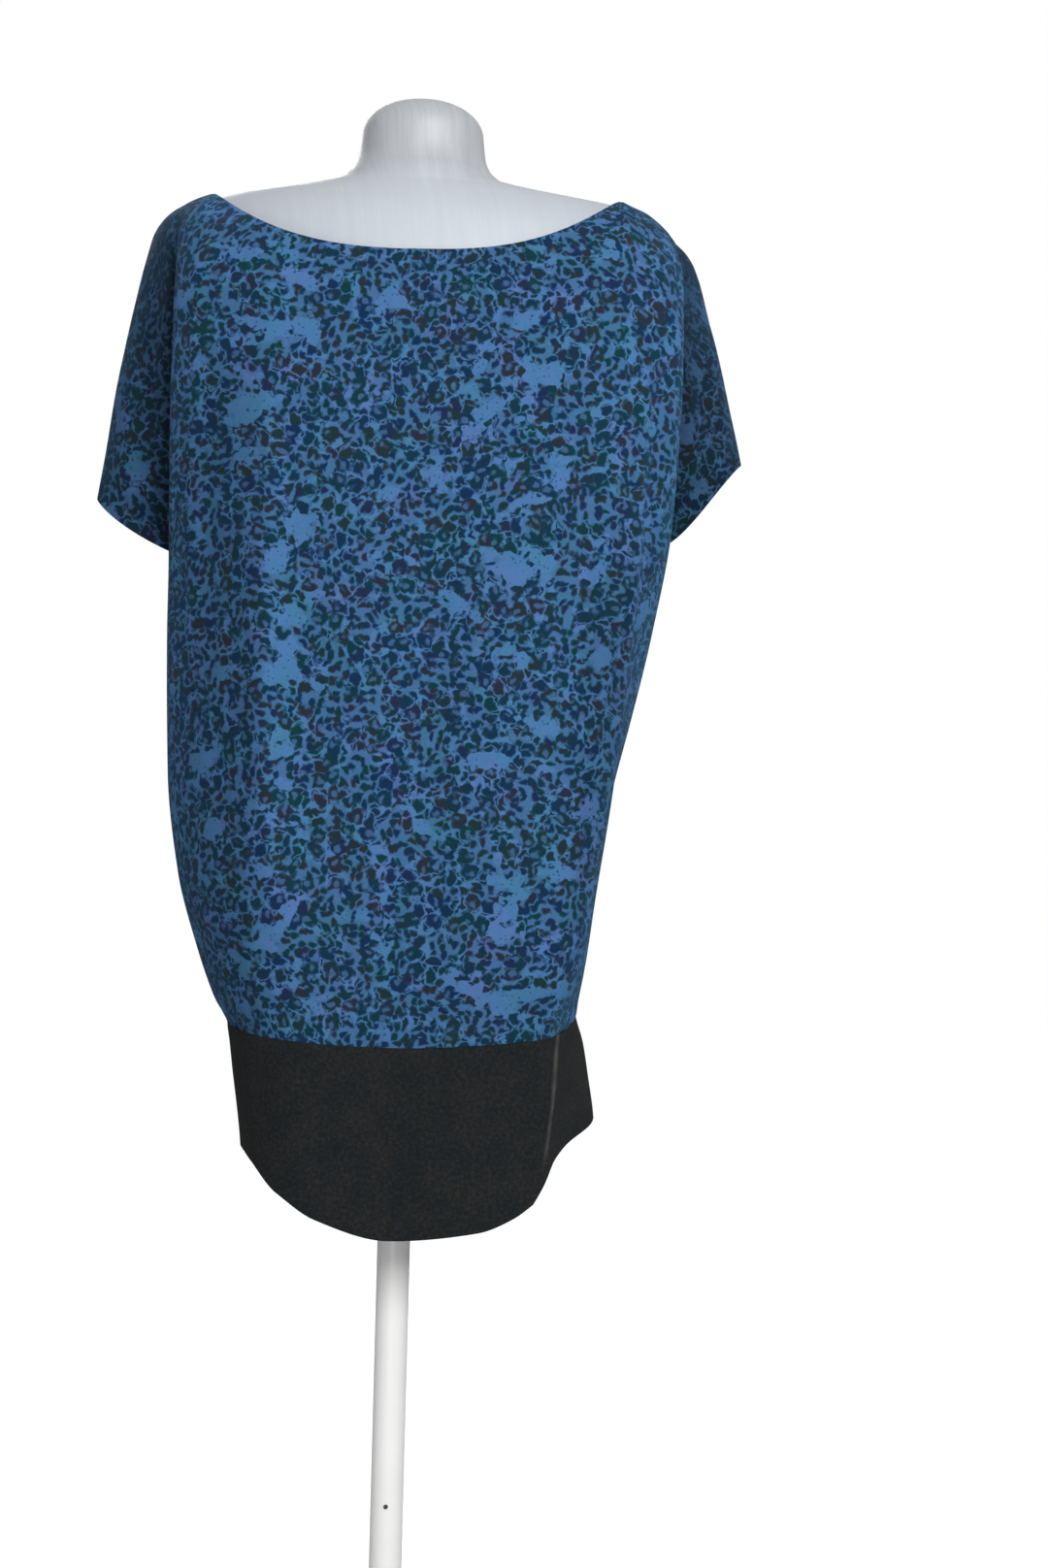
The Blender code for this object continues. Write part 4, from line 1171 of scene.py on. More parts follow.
def srgb(red, green, blue):
    """A colour from its 0 to 255 screen values."""
    shares = (red / 255, green / 255, blue / 255)
    linear = [((v + 0.055) / 1.055) ** 2.4 if v * 255 > 10 else v / 12.92 for v in shares]
    return (*linear, 1.0)


class Nodes:
    """Adds nodes to a tree. Values may be numbers or other nodes' outputs."""

    def __init__(self, tree):
        self.tree = tree

    def add(self, kind, **settings):
        """A new node with these settings."""
        node = self.tree.nodes.new(kind)
        for name, value in settings.items():
            setattr(node, name, value)
        return node

    def put(self, socket, value):
        """Links a node's output to the socket, or sets the socket's own value."""
        if isinstance(value, bpy.types.NodeSocket):
            self.tree.links.new(value, socket)
        else:
            socket.default_value = value

    def math(self, operation, *values):
        node = self.add("ShaderNodeMath", operation=operation)
        for socket, value in zip(node.inputs, values):
            self.put(socket, value)
        return node.outputs[0]

    def plus(self, a, b):
        return self.math("ADD", a, b)

    def minus(self, a, b):
        return self.math("SUBTRACT", a, b)

    def times(self, a, b):
        return self.math("MULTIPLY", a, b)

    def times_plus(self, a, b, c):
        return self.math("MULTIPLY_ADD", a, b, c)

    def vector(self, operation, *values):
        node = self.add("ShaderNodeVectorMath", operation=operation)
        sockets = [node.inputs[0], node.inputs[3]] if operation == "SCALE" else node.inputs
        for socket, value in zip(sockets, values):
            self.put(socket, value)
        return node.outputs["Value" if operation in ("LENGTH", "DISTANCE") else "Vector"]

    def ramp(self, value, low, high, start=0.0, end=1.0):
        """Start below low, end above high, and a smooth rise between."""
        node = self.add("ShaderNodeMapRange", interpolation_type="SMOOTHSTEP")
        names = ("Value", "From Min", "From Max", "To Min", "To Max")
        for name, v in zip(names, (value, low, high, start, end)):
            self.put(node.inputs[name], v)
        return node.outputs["Result"]

    def mix(self, share, a, b):
        """A colour between a and b."""
        node = self.add("ShaderNodeMix", data_type="RGBA")
        self.put(node.inputs[0], share)
        self.put(node.inputs[6], a)
        self.put(node.inputs[7], b)
        return node.outputs[2]

    def blend(self, share, a, b):
        """A number between a and b."""
        node = self.add("ShaderNodeMix", data_type="FLOAT")
        self.put(node.inputs[0], share)
        self.put(node.inputs[2], a)
        self.put(node.inputs[3], b)
        return node.outputs[0]

    def noise(self, vector, scale, detail=2.0, roughness=0.5, colour=False, dimensions="2D"):
        node = self.add("ShaderNodeTexNoise", noise_dimensions=dimensions)
        self.put(node.inputs["Vector"], vector)
        self.put(node.inputs["Scale"], scale)
        self.put(node.inputs["Detail"], detail)
        self.put(node.inputs["Roughness"], roughness)
        return node.outputs["Color" if colour else "Fac"]

    def cells(self, vector, scale, randomness=1.0):
        node = self.add("ShaderNodeTexVoronoi", voronoi_dimensions="2D", feature="F1")
        self.put(node.inputs["Vector"], vector)
        self.put(node.inputs["Scale"], scale)
        self.put(node.inputs["Randomness"], randomness)
        return node

    def split(self, vector):
        node = self.add("ShaderNodeSeparateXYZ")
        self.put(node.inputs[0], vector)
        return node.outputs[0], node.outputs[1], node.outputs[2]

    def join(self, x, y, z=0.0):
        node = self.add("ShaderNodeCombineXYZ")
        for socket, value in zip(node.inputs, (x, y, z)):
            self.put(socket, value)
        return node.outputs[0]

    def shades(self, value, stops):
        """A colour ramp from (place, red, green, blue) stops."""
        node = self.add("ShaderNodeValToRGB")
        line = node.color_ramp
        while len(line.elements) < len(stops):
            line.elements.new(0.5)
        for element, (place, *colour) in zip(line.elements, stops):
            element.position = place
            element.color = srgb(*colour)
        self.put(node.inputs[0], value)
        return node.outputs[0]


def new_group(name, inputs, outputs):
    """An effect with named inputs (name, kind, value) and outputs (name, kind)."""
    tree = bpy.data.node_groups.new(name, "ShaderNodeTree")
    for label, kind, value in inputs:
        socket = tree.interface.new_socket(name=label, in_out="INPUT", socket_type=kind)
        if value is not None:
            socket.default_value = value
    for label, kind in outputs:
        tree.interface.new_socket(name=label, in_out="OUTPUT", socket_type=kind)
    nodes = Nodes(tree)
    return tree, nodes, nodes.add("NodeGroupInput").outputs, nodes.add("NodeGroupOutput").inputs


# The knit: its stitches' slant, relief, width and height in metres, and how light and dark they are
STITCH_SLANT = 1.3
STITCH_RELIEF = 0.6
PRINT_STITCH = {"Wale": 0.00105, "Course": 0.00085}
BAND_STITCH = {"Wale": 0.0012, "Course": 0.00095}
PRINT_FLECK = (0.16, 0.92)
BAND_FLECK = (0.24, 0.88)


def jersey_group():
    """Knit stitches: upright rows of small V shapes."""
    tree, n, given, out = new_group(
        "jersey",
        (("Cut", VECTOR, None), ("Wale", FLOAT, 0.0011), ("Course", FLOAT, 0.0009)),
        (("Height", FLOAT), ("Fleck", FLOAT)),
    )
    x, y, _ = n.split(given["Cut"])
    wale = n.math("DIVIDE", x, given["Wale"])
    course = n.math("DIVIDE", y, given["Course"])
    arm = n.math("ABSOLUTE", n.minus(n.math("FRACT", wale), 0.5))
    slant = n.plus(course, n.times(arm, STITCH_SLANT))
    loop = n.times_plus(n.math("SINE", n.times(slant, 2 * math.pi)), 0.5, 0.5)
    side = n.minus(n.times(arm, 4.0), 1.0)
    body = n.minus(1.0, n.times(side, side))
    n.put(out["Height"], n.times(body, n.times_plus(loop, STITCH_RELIEF, 1 - STITCH_RELIEF)))
    cell = n.join(n.math("FLOOR", wale), n.math("FLOOR", course))
    fleck = n.add("ShaderNodeTexWhiteNoise", noise_dimensions="2D")
    n.put(fleck.inputs["Vector"], cell)
    n.put(out["Fleck"], fleck.outputs["Value"])
    return tree


# The print. Lengths are in mm, and shapes in shares of their cell. A pair is where a soft edge starts
# and where it ends.
MM = 1000.0
WOBBLE_SIZE = 8.2
WOBBLE = 4.6
DRIFT_START = 105.0
DRIFT_SPACING = 195
DRIFT = 0.040
PATCH_SIZE = 30
PATCH_STRETCH = (0.85, 1.0, 1.0)
PLAIN_PATCH = (0.605, 0.68)
ZONE_SIZE = 26
ZONE_PLACE = (431.0, 87.0, 0.0)
DASH_ZONE = (0.50, 0.56)
ROUGH_SIZE = 5.2
ROUGH_PLACE = (77.0, 313.0, 0.0)
DENSER = 0.10
CELL_RANDOMNESS = 0.80

# Rings and beans
BLOB_CELL = 13.4
BEAN_SHARE = 0.45
BLOB_LONG = 0.88
BEAN_NARROW = 1.30
RING_NARROW = 1.02
BEAN_SIZE = 0.43
RING_SIZE = 0.49
BLOB_ROUGH = 0.44
BLOB_THINNED = 0.42
BLOB_EDGE = (-0.065, 0.05)
BLOB_CORE = (0.0, 0.14)
HOLE_ASIDE = 0.16
HOLE_NARROW = 1.15
HOLE_SIZE = 0.135
HOLE_ROUGH = 0.36
HOLE_EDGE = (0.02, -0.04)

# Small spots and dashes
DASH_CELL = 7.2
DASH_LONG = 0.74
DASH_NARROW = 1.34
DASH_SIZE = 0.43
DASH_VARIES = 0.10
DASH_ROUGH = 0.34
DASH_THINNED = 0.52
DASH_EDGE = (-0.09, 0.09)
DASH_CORE = (0.02, 0.22)
LIE_SIZE = 40
LIE_PLACE = (9.0, 740.0, 0.0)
LIE_TURNS = 11.0
BETWEEN_BLOBS = (0.04, 0.12)
BETWEEN_CORE = (0.02, 0.20)

# Tiny dots
DOT_CELL = 3.6
DOTLESS_SHARE = 0.80
DOT_EDGE = (0.28, 0.14)
DOT_STRENGTH = 0.8


def turned_spot(n, place, cells, angle, long, narrow, cell):
    """A point's place in its cell, turned and drawn out: along, across and from the cell's middle."""
    turn = n.add("ShaderNodeVectorRotate", rotation_type="Z_AXIS")
    n.put(turn.inputs["Vector"], n.vector("SUBTRACT", place, cells.outputs["Position"]))
    n.put(turn.inputs["Angle"], angle)
    along, across, _ = n.split(n.vector("SCALE", turn.outputs[0], 1 / cell))
    along = n.times(along, long)
    across = n.times(across, narrow)
    return along, across, n.vector("LENGTH", n.join(along, across))


def print_areas(n, place, dense):
    """The plain patches in their upright drifts, the zones of fine dashes, and how rough the edges are."""
    turn = n.times(n.plus(n.split(place)[0], DRIFT_START), 2 * math.pi / DRIFT_SPACING)
    patch = n.noise(n.vector("MULTIPLY", place, PATCH_STRETCH), 1 / PATCH_SIZE, detail=3.0, roughness=0.55)
    patch = n.plus(patch, n.times(n.math("COSINE", turn), DRIFT))
    zone = n.noise(n.vector("ADD", place, ZONE_PLACE), 1 / ZONE_SIZE)
    rough = n.noise(n.vector("ADD", place, ROUGH_PLACE), 1 / ROUGH_SIZE, detail=1.0)
    rough = n.plus(n.minus(rough, 0.5), n.times(dense, DENSER))
    return n.ramp(patch, *PLAIN_PATCH), n.ramp(zone, *DASH_ZONE), rough


def blobs(n, warped, rough, plain):
    """Open rings and beans, one to a cell: depth inside them, way out of them, open middle and hue."""
    cells = n.cells(warped, 1 / BLOB_CELL, CELL_RANDOMNESS)
    draw = n.split(cells.outputs["Color"])
    ring = n.math("GREATER_THAN", draw[1], BEAN_SHARE)
    angle = n.times(draw[2], 2 * math.pi)
    narrow = n.blend(ring, BEAN_NARROW, RING_NARROW)
    along, across, away = turned_spot(n, warped, cells, angle, BLOB_LONG, narrow, BLOB_CELL)
    edge = n.times_plus(rough, BLOB_ROUGH, n.blend(ring, BEAN_SIZE, RING_SIZE))
    edge = n.minus(edge, n.times(plain, BLOB_THINNED))
    inside = n.minus(edge, away)
    hole = n.join(n.minus(along, HOLE_ASIDE), n.times(across, HOLE_NARROW))
    hole = n.minus(n.vector("LENGTH", hole), HOLE_SIZE)
    hole = n.times_plus(rough, HOLE_ROUGH, hole)
    depth = n.blend(ring, inside, n.math("MINIMUM", inside, hole))
    hollow = n.times(ring, n.ramp(hole, *HOLE_EDGE))
    return depth, n.minus(away, edge), hollow, draw[0]


def dashes(n, place, warped, rough, plain):
    """Small drawn-out spots, one to a cell, that lie along a slow drift: their depth and their hue."""
    cells = n.cells(warped, 1 / DASH_CELL, CELL_RANDOMNESS)
    draw = n.split(cells.outputs["Color"])
    lie = n.times(n.noise(n.vector("ADD", place, LIE_PLACE), 1 / LIE_SIZE, detail=1.0), LIE_TURNS)
    away = turned_spot(n, warped, cells, lie, DASH_LONG, DASH_NARROW, DASH_CELL)[2]
    reach = n.times_plus(draw[0], DASH_VARIES, DASH_SIZE)
    reach = n.times_plus(rough, DASH_ROUGH, reach)
    reach = n.minus(reach, n.times(plain, DASH_THINNED))
    return n.minus(reach, away), draw[1]


def tiny_dots(n, place, plain):
    """Tiny dots in the plain patches."""
    cells = n.cells(place, 1 / DOT_CELL)
    chosen = n.math("GREATER_THAN", n.split(cells.outputs["Color"])[0], DOTLESS_SHARE)
    dot = n.times(n.ramp(cells.outputs["Distance"], *DOT_EDGE), chosen)
    return n.times(dot, n.times(plain, DOT_STRENGTH))


def spots_group():
    """Animal spots: broken rings, beans and blobs, zones of fine dashes, and plain patches."""
    tree, n, given, out = new_group(
        "animal_spots",
        (("Cut", VECTOR, None), ("Shift", VECTOR, (0.0, 0.0, 0.0)), ("Dense", FLOAT, 0.0)),
        (("Spot", FLOAT), ("Core", FLOAT), ("Hue", FLOAT), ("Hollow", FLOAT), ("Net", FLOAT)),
    )
    place = n.vector("ADD", n.vector("SCALE", given["Cut"], MM), given["Shift"])
    wobble = n.noise(place, 1 / WOBBLE_SIZE, detail=1.0, colour=True)
    wobble = n.vector("SUBTRACT", wobble, (0.5, 0.5, 0.5))
    warped = n.vector("ADD", place, n.vector("SCALE", wobble, WOBBLE))
    plain, zone, rough = print_areas(n, place, given["Dense"])
    depth, outside, hollow, hue = blobs(n, warped, rough, plain)
    small, small_hue = dashes(n, place, warped, rough, plain)

    blob = n.ramp(depth, *BLOB_EDGE)
    dash = n.ramp(small, *DASH_EDGE)
    between = n.times(dash, n.ramp(outside, *BETWEEN_BLOBS))
    spot = n.blend(zone, n.math("MAXIMUM", blob, between), dash)
    small_core = n.ramp(n.times(small, between), *BETWEEN_CORE)
    core = n.math("MAXIMUM", n.ramp(depth, *BLOB_CORE), small_core)
    ringed = n.minus(1.0, n.math("MAXIMUM", zone, plain))
    n.put(out["Spot"], n.math("MAXIMUM", spot, tiny_dots(n, place, plain)))
    n.put(out["Core"], n.blend(zone, core, n.ramp(small, *DASH_CORE)))
    n.put(out["Hue"], n.blend(zone, hue, small_hue))
    n.put(out["Hollow"], n.times(hollow, ringed))
    n.put(out["Net"], n.times(zone, n.minus(1.0, plain)))
    return tree


# The cover's streaks, as shares of a thread's width and length
DEPTH_SHARE = 0.35
BAND_WIDER = 0.21
BAND_LONGER = 0.8
GLEAM_WIDER = 0.8
GLEAM_SHORTER = 3.4
GLEAM_PLACE = 51.0
GLEAM_EDGE = (0.66, 0.80)


def streaks_group():
    """Soft upright streaks: fine threads in wider bands, and a few short bright ones."""
    tree, n, given, out = new_group(
        "upright_streaks",
        (("Place", VECTOR, None), ("Width", FLOAT, 0.0016), ("Length", FLOAT, 0.09)),
        (("Thread", FLOAT), ("Band", FLOAT), ("Gleam", FLOAT)),
    )
    x, y, z = n.split(given["Place"])
    across = n.math("DIVIDE", n.times_plus(y, DEPTH_SHARE, x), given["Width"])
    along = n.math("DIVIDE", z, given["Length"])
    wide = n.join(n.times(across, BAND_WIDER), n.times(along, BAND_LONGER))
    short_across = n.times_plus(across, GLEAM_WIDER, GLEAM_PLACE)
    short = n.join(short_across, n.times(along, GLEAM_SHORTER))
    n.put(out["Thread"], n.noise(n.join(across, along), 1.0))
    n.put(out["Band"], n.noise(wide, 1.0))
    n.put(out["Gleam"], n.ramp(n.noise(short, 1.0, detail=1.0), *GLEAM_EDGE))
    return tree


# The shared effects made so far
GROUPS = {}


def place_group(nodes, name, **values):
    """Puts a shared effect in a material, with its own values, and returns its outputs."""
    makers = {"jersey": jersey_group, "animal_spots": spots_group, "upright_streaks": streaks_group}
    if name not in GROUPS:
        GROUPS[name] = makers[name]()
    node = nodes.add("ShaderNodeGroup")
    node.node_tree = GROUPS[name]
    for label, value in values.items():
        nodes.put(node.inputs[label], value)
    return node.outputs


def new_material(name, **constants):
    """A material with its Principled shader and the values that are the same all over it."""
    made = bpy.data.materials.new(name)
    made.use_nodes = True
    shader = made.node_tree.nodes["Principled BSDF"]
    for label, value in constants.items():
        shader.inputs[label.replace("_", " ")].default_value = value
    return made, Nodes(made.node_tree), shader.inputs


# Each look's roughness, as how much it varies and where it starts, and its bumps, as how far they
# stand out and how strongly.
FINISHES = {
    "print": ((0.10, 0.78), (0.00022, 0.8)),
    "band": ((0.10, 0.80), (0.00026, 0.9)),
    "cover": ((0.22, 0.42), (0.00008, 0.3)),
    "white": ((0.12, 0.30), (0.00006, 0.6)),
    "steel": ((0.20, 0.26), (0.00003, 0.6)),
}


def fill_in(n, shader, finish, colour, tone, height):
    """Gives a shader its colour, a roughness that varies with the tone, and bumps of this height."""
    rough, (distance, strength) = FINISHES[finish]
    node = n.add("ShaderNodeBump")
    n.put(node.inputs["Height"], height)
    node.inputs["Distance"].default_value = distance
    node.inputs["Strength"].default_value = strength
    n.put(shader["Base Color"], colour)
    n.put(shader["Roughness"], n.times_plus(tone, *rough))
    n.put(shader["Normal"], node.outputs["Normal"])


# Where painted shade darkens the print, in metres across and up the cut cloth: past the side folds above
# the underarm, less so far out on the sleeves, and in a strip beside the long crease on each side. Each
# strip has its start, its end and its top.
PAST_LEFT_FOLD = (0.202, 0.216)
PAST_RIGHT_FOLD = (0.229, 0.245)
ABOVE_UNDERARM = (0.36, 0.42)
SHADE_EASES = (0.262, 0.305)
SHADE_EASED = 0.65
LEFT_PAINTED_SHADE_STRIP = ((0.102, 0.118), (0.165, 0.200), (0.46, 0.60))
RIGHT_PAINTED_SHADE_STRIP = ((0.130, 0.150), (0.200, 0.232), (0.30, 0.44))

# How much painted shade darkens the print: past the left and right fold, and in the left and right strip.
BACK_PAINTED_SHADE = (0.54, 0.76, 0.26, 0.20)
FRONT_PAINTED_SHADE = (0.20, 0.20, 0.0, 0.0)
NO_PAINTED_SHADE = (0.0, 0.0, 0.0, 0.0)

# Which part of the endless print each panel is cut from, in mm.
BACK_SHIFT = (0.0, 0.0, 0.0)
FRONT_SHIFT = (530.0, 260.0, 0.0)

# The print's colours, as stops of place, red, green and blue, and how much of each bed shows.
TINT_SCALE = 26.0
TINT_PLACE = (3.1, 7.7, 0.0)
GROUND = ((0.30, 65, 120, 158), (0.45, 68, 118, 165), (0.58, 74, 117, 170), (0.70, 82, 115, 173))
INK = (
    (0.00, 5, 44, 70),
    (0.22, 2, 54, 58),
    (0.45, 5, 42, 80),
    (0.65, 20, 48, 52),
    (0.82, 35, 41, 55),
    (1.00, 14, 39, 79),
)
INK_EDGE = 0.26
NET_BED = srgb(38, 70, 98)
NET_SHARE = 0.30
RING_BED = srgb(56, 84, 122)
RING_SHARE = 0.8
WRONG_SIDE = srgb(84, 104, 138)
WRONG_SIDE_SHARE = 0.55


def painted_shade_strip(n, across, along, start, end, top):
    """1 in an upright strip that starts and ends softly across, and fades at its top."""
    strip = n.times(n.ramp(across, *start), n.ramp(across, *end, 1.0, 0.0))
    return n.times(strip, n.ramp(along, *top, 1.0, 0.0))


def painted_print_shade(n, across, along, past_left, past_right, painted_shade):
    """How much painted shade darkens the print here."""
    to_left = n.times(across, -1.0)
    shade = n.times_plus(past_left, painted_shade[0], n.times(past_right, painted_shade[1]))
    shade = n.times(shade, n.ramp(n.math("ABSOLUTE", across), *SHADE_EASES, 1.0, SHADE_EASED))
    shade = n.times_plus(painted_shade_strip(n, to_left, along, *LEFT_PAINTED_SHADE_STRIP), painted_shade[2], shade)
    return n.times_plus(painted_shade_strip(n, across, along, *RIGHT_PAINTED_SHADE_STRIP), painted_shade[3], shade)


def print_colour(n, cut, spots):
    """The ground, the spots' soft edges and their dark cores, and the beds of dashes and rings."""
    tint = n.noise(n.vector("ADD", cut, TINT_PLACE), TINT_SCALE, detail=3.0, roughness=0.6)
    ground = n.shades(tint, GROUND)
    dark = n.shades(spots["Hue"], INK)
    ink = n.mix(spots["Core"], n.mix(INK_EDGE, dark, ground), dark)
    bed = n.mix(n.times(spots["Net"], NET_SHARE), ground, NET_BED)
    bed = n.mix(n.times(spots["Hollow"], RING_SHARE), bed, RING_BED)
    return n.mix(spots["Spot"], bed, ink)


def print_knit(name, shift, painted_shade, wrong_side=False):
    """Blue jersey with dark animal spots, and painted shade past the side folds and beside the long
    creases, as given. Its wrong side shows the print faintly.
    """
    made, n, shader = new_material(
        name,
        Sheen_Weight=0.26,
        Sheen_Roughness=0.35,
        Specular_IOR_Level=0.18,
        Sheen_Tint=srgb(105, 172, 228),
    )
    cut = n.add("ShaderNodeUVMap", uv_map="cut").outputs[0]
    across, along, _ = n.split(cut)
    high = n.ramp(along, *ABOVE_UNDERARM)
    past_left = n.times(high, n.ramp(n.times(across, -1.0), *PAST_LEFT_FOLD))
    past_right = n.times(high, n.ramp(across, *PAST_RIGHT_FOLD))
    outer = n.plus(past_left, past_right)
    spots = place_group(n, "animal_spots", Cut=cut, Shift=shift, Dense=outer)
    knit = place_group(n, "jersey", Cut=cut, **PRINT_STITCH)
    # Painted shade: the print is darkened past the side folds and beside the long creases.
    shade = painted_print_shade(n, across, along, past_left, past_right, painted_shade)
    colour = n.vector("SCALE", print_colour(n, cut, spots), n.minus(1.0, shade))
    colour = n.vector("SCALE", colour, n.times_plus(knit["Fleck"], *PRINT_FLECK))
    if wrong_side:
        colour = n.mix(WRONG_SIDE_SHARE, colour, WRONG_SIDE)
    fill_in(n, shader, "print", colour, knit["Fleck"], knit["Height"])
    return made


# The band: its mottle, and where a painted highlight along the ridge of a fold lies on the cut cloth
MOTTLE_SCALE = 330.0
MOTTLE_SHARE = 0.75
CLOUD_SCALE = 38.0
CHARCOAL = ((0.32, 23, 31, 35), (0.50, 33, 36, 38), (0.68, 48, 45, 43))
BAND_WRONG_SIDE = srgb(46, 47, 49)
BAND_WRONG_SIDE_SHARE = 0.3
# A painted highlight: the lit ridge of a fold on the back band.
FOLD_HIGHLIGHT = srgb(98, 97, 94)
FOLD_LINE_FOOT = 0.1106
FOLD_LINE_LEAN = 0.236
FOLD_LINE_WIDTH = 0.0044
FOLD_LINE_STARTS = (0.045, 0.070)
FOLD_LINE_SCALE = 70.0


def painted_fold_highlight(n, cut, colour):
    """The colour with a painted highlight along the ridge of a fold on it."""
    across, along, _ = n.split(cut)
    off = n.minus(n.times_plus(along, FOLD_LINE_LEAN, FOLD_LINE_FOOT), across)
    line = n.ramp(n.math("ABSOLUTE", off), FOLD_LINE_WIDTH, 0.0)
    fade = n.times(n.ramp(along, *FOLD_LINE_STARTS), n.noise(cut, FOLD_LINE_SCALE))
    return n.mix(n.times(line, fade), colour, FOLD_HIGHLIGHT)


def band_knit(name, wrong_side=False, fold_highlight=False):
    """Charcoal jersey, a little mottled, with a painted highlight along one fold where asked."""
    made, n, shader = new_material(name, Sheen_Weight=0.02, Sheen_Roughness=0.4, Specular_IOR_Level=0.1)
    cut = n.add("ShaderNodeUVMap", uv_map="cut").outputs[0]
    knit = place_group(n, "jersey", Cut=cut, **BAND_STITCH)
    mottle = n.times(n.noise(cut, MOTTLE_SCALE, detail=3.0, roughness=0.65), MOTTLE_SHARE)
    cloud = n.times(n.noise(cut, CLOUD_SCALE), 1 - MOTTLE_SHARE)
    colour = n.shades(n.plus(mottle, cloud), CHARCOAL)
    colour = n.vector("SCALE", colour, n.times_plus(knit["Fleck"], *BAND_FLECK))
    if wrong_side:
        colour = n.mix(BAND_WRONG_SIDE_SHARE, colour, BAND_WRONG_SIDE)
    elif fold_highlight:
        colour = painted_fold_highlight(n, cut, colour)
    fill_in(n, shader, "band", colour, knit["Fleck"], knit["Height"])
    return made


# The form's cover and the stand
THREAD_SHARE = 0.45
SILVER = ((0.34, 183, 185, 189), (0.50, 189, 192, 196), (0.66, 195, 198, 203))
GLEAM = srgb(214, 217, 221)
GLEAM_SHARE = 0.35
# A painted highlight: the cover is paler and bluer just below the neck.
BELOW_NECK = (1.437, 1.412)
BELOW_NECK_HIGHLIGHT = srgb(204, 212, 222)
BELOW_NECK_HIGHLIGHT_SHARE = 0.65
WHITE = ((0.35, 246, 246, 245), (0.65, 251, 251, 250))
WHITE_CLOUD_SCALE = 9.0
PEEL_SCALE = 900.0
STEEL = ((0.3, 52, 53, 55), (0.7, 84, 85, 88))
MARKS_SCALE = 2600.0


def silver_cover():
    """Silver-grey satin with soft upright streaks and a few bright threads, and a painted highlight that
    makes it paler and bluer below the neck.
    """
    made, n, shader = new_material(
        "silver_cover", Metallic=0.15, Sheen_Weight=0.10, Sheen_Roughness=0.35, Specular_IOR_Level=0.45
    )
    place = n.add("ShaderNodeTexCoord").outputs["Object"]
    lines = place_group(n, "upright_streaks", Place=place, Width=0.0016, Length=0.085)
    thread = n.times(lines["Thread"], THREAD_SHARE)
    tone = n.plus(thread, n.times(lines["Band"], 1 - THREAD_SHARE))
    colour = n.shades(tone, SILVER)
    colour = n.mix(n.times(lines["Gleam"], GLEAM_SHARE), colour, GLEAM)
    # Painted highlight below the neck.
    below_neck_highlight = n.ramp(n.split(place)[2], *BELOW_NECK)
    colour = n.mix(n.times(below_neck_highlight, BELOW_NECK_HIGHLIGHT_SHARE), colour, BELOW_NECK_HIGHLIGHT)
    fill_in(n, shader, "cover", colour, tone, n.plus(tone, lines["Gleam"]))
    return made


def white_coat():
    """Satin white powder coat with a faint orange peel."""
    made, n, shader = new_material(
        "white_coat", Coat_Weight=0.15, Coat_Roughness=0.25, Sheen_Weight=0.6, Sheen_Roughness=0.5
    )
    place = n.add("ShaderNodeTexCoord").outputs["Object"]
    cloud = n.noise(place, WHITE_CLOUD_SCALE, detail=3.0, dimensions="3D")
    peel = n.noise(place, PEEL_SCALE, dimensions="3D")
    fill_in(n, shader, "white", n.shades(cloud, WHITE), cloud, peel)
    return made


def dark_steel():
    """Dark satin metal with turning marks round its axis."""
    made, n, shader = new_material("dark_steel", Metallic=0.85)
    x, y, z = n.split(n.add("ShaderNodeTexCoord").outputs["Object"])
    radius = n.times(n.vector("LENGTH", n.join(x, y)), MARKS_SCALE)
    marks = n.noise(n.join(radius, n.times(z, MARKS_SCALE)), 1.0, detail=3.0, roughness=0.6)
    fill_in(n, shader, "steel", n.shades(marks, STEEL), marks, marks)
    return made


# Room
PHOTO_HEIGHT = 1616
FOCAL_PIXELS = 2250
SENSOR = 36
CAMERA_SPOT = (0.0974, -1.8, 0.938)
CAMERA_ROLL = 0.0265
WHITE_LIGHT = (1, 1, 1, 1)
FLOOR_HALF = 6
FLOOR_COLOUR = (0.30, 0.30, 0.30, 1)
FLOOR_GLOW = 0.88
LIGHT_ROUND = 0.07
LIGHT_ABOVE = 0.42
LIGHT_BEFORE = 0.12
LIGHT_BEHIND = 0.35

# Each lamp's name, spot, target, size and power.
LAMPS = (
    ("key", (0.85, -2.3, 1.9), (0, 0, 0.95), 0.9, 49),
    ("low_fill", (-0.1, -2.3, 0.35), (0, 0, 0.75), 1.0, 11),
    ("front_key", (-0.9, 2.4, 2.2), (0, 0, 0.95), 1.2, 34),
)


def add_camera():
    """The photograph's view: level, and rolled a little to the left."""
    data = bpy.data.cameras.new("camera")
    data.sensor_fit = "AUTO"
    data.sensor_width = SENSOR
    data.lens = SENSOR * FOCAL_PIXELS / PHOTO_HEIGHT
    c = math.cos(CAMERA_ROLL)
    s = math.sin(CAMERA_ROLL)
    place = Matrix(((c, 0, s), (-s, 0, c), (0, -1, 0))).transposed().to_4x4()
    place.translation = CAMERA_SPOT
    camera = placed("camera", data)
    camera.matrix_world = place
    bpy.context.scene.camera = camera


def add_light(name, spot, target, size, power):
    """A square lamp that faces its target."""
    data = bpy.data.lights.new(name, "AREA")
    data.size = size
    data.energy = power
    lamp = placed(name, data)
    lamp.location = spot
    lamp.rotation_euler = (Vector(target) - Vector(spot)).to_track_quat("-Z", "Y").to_euler()


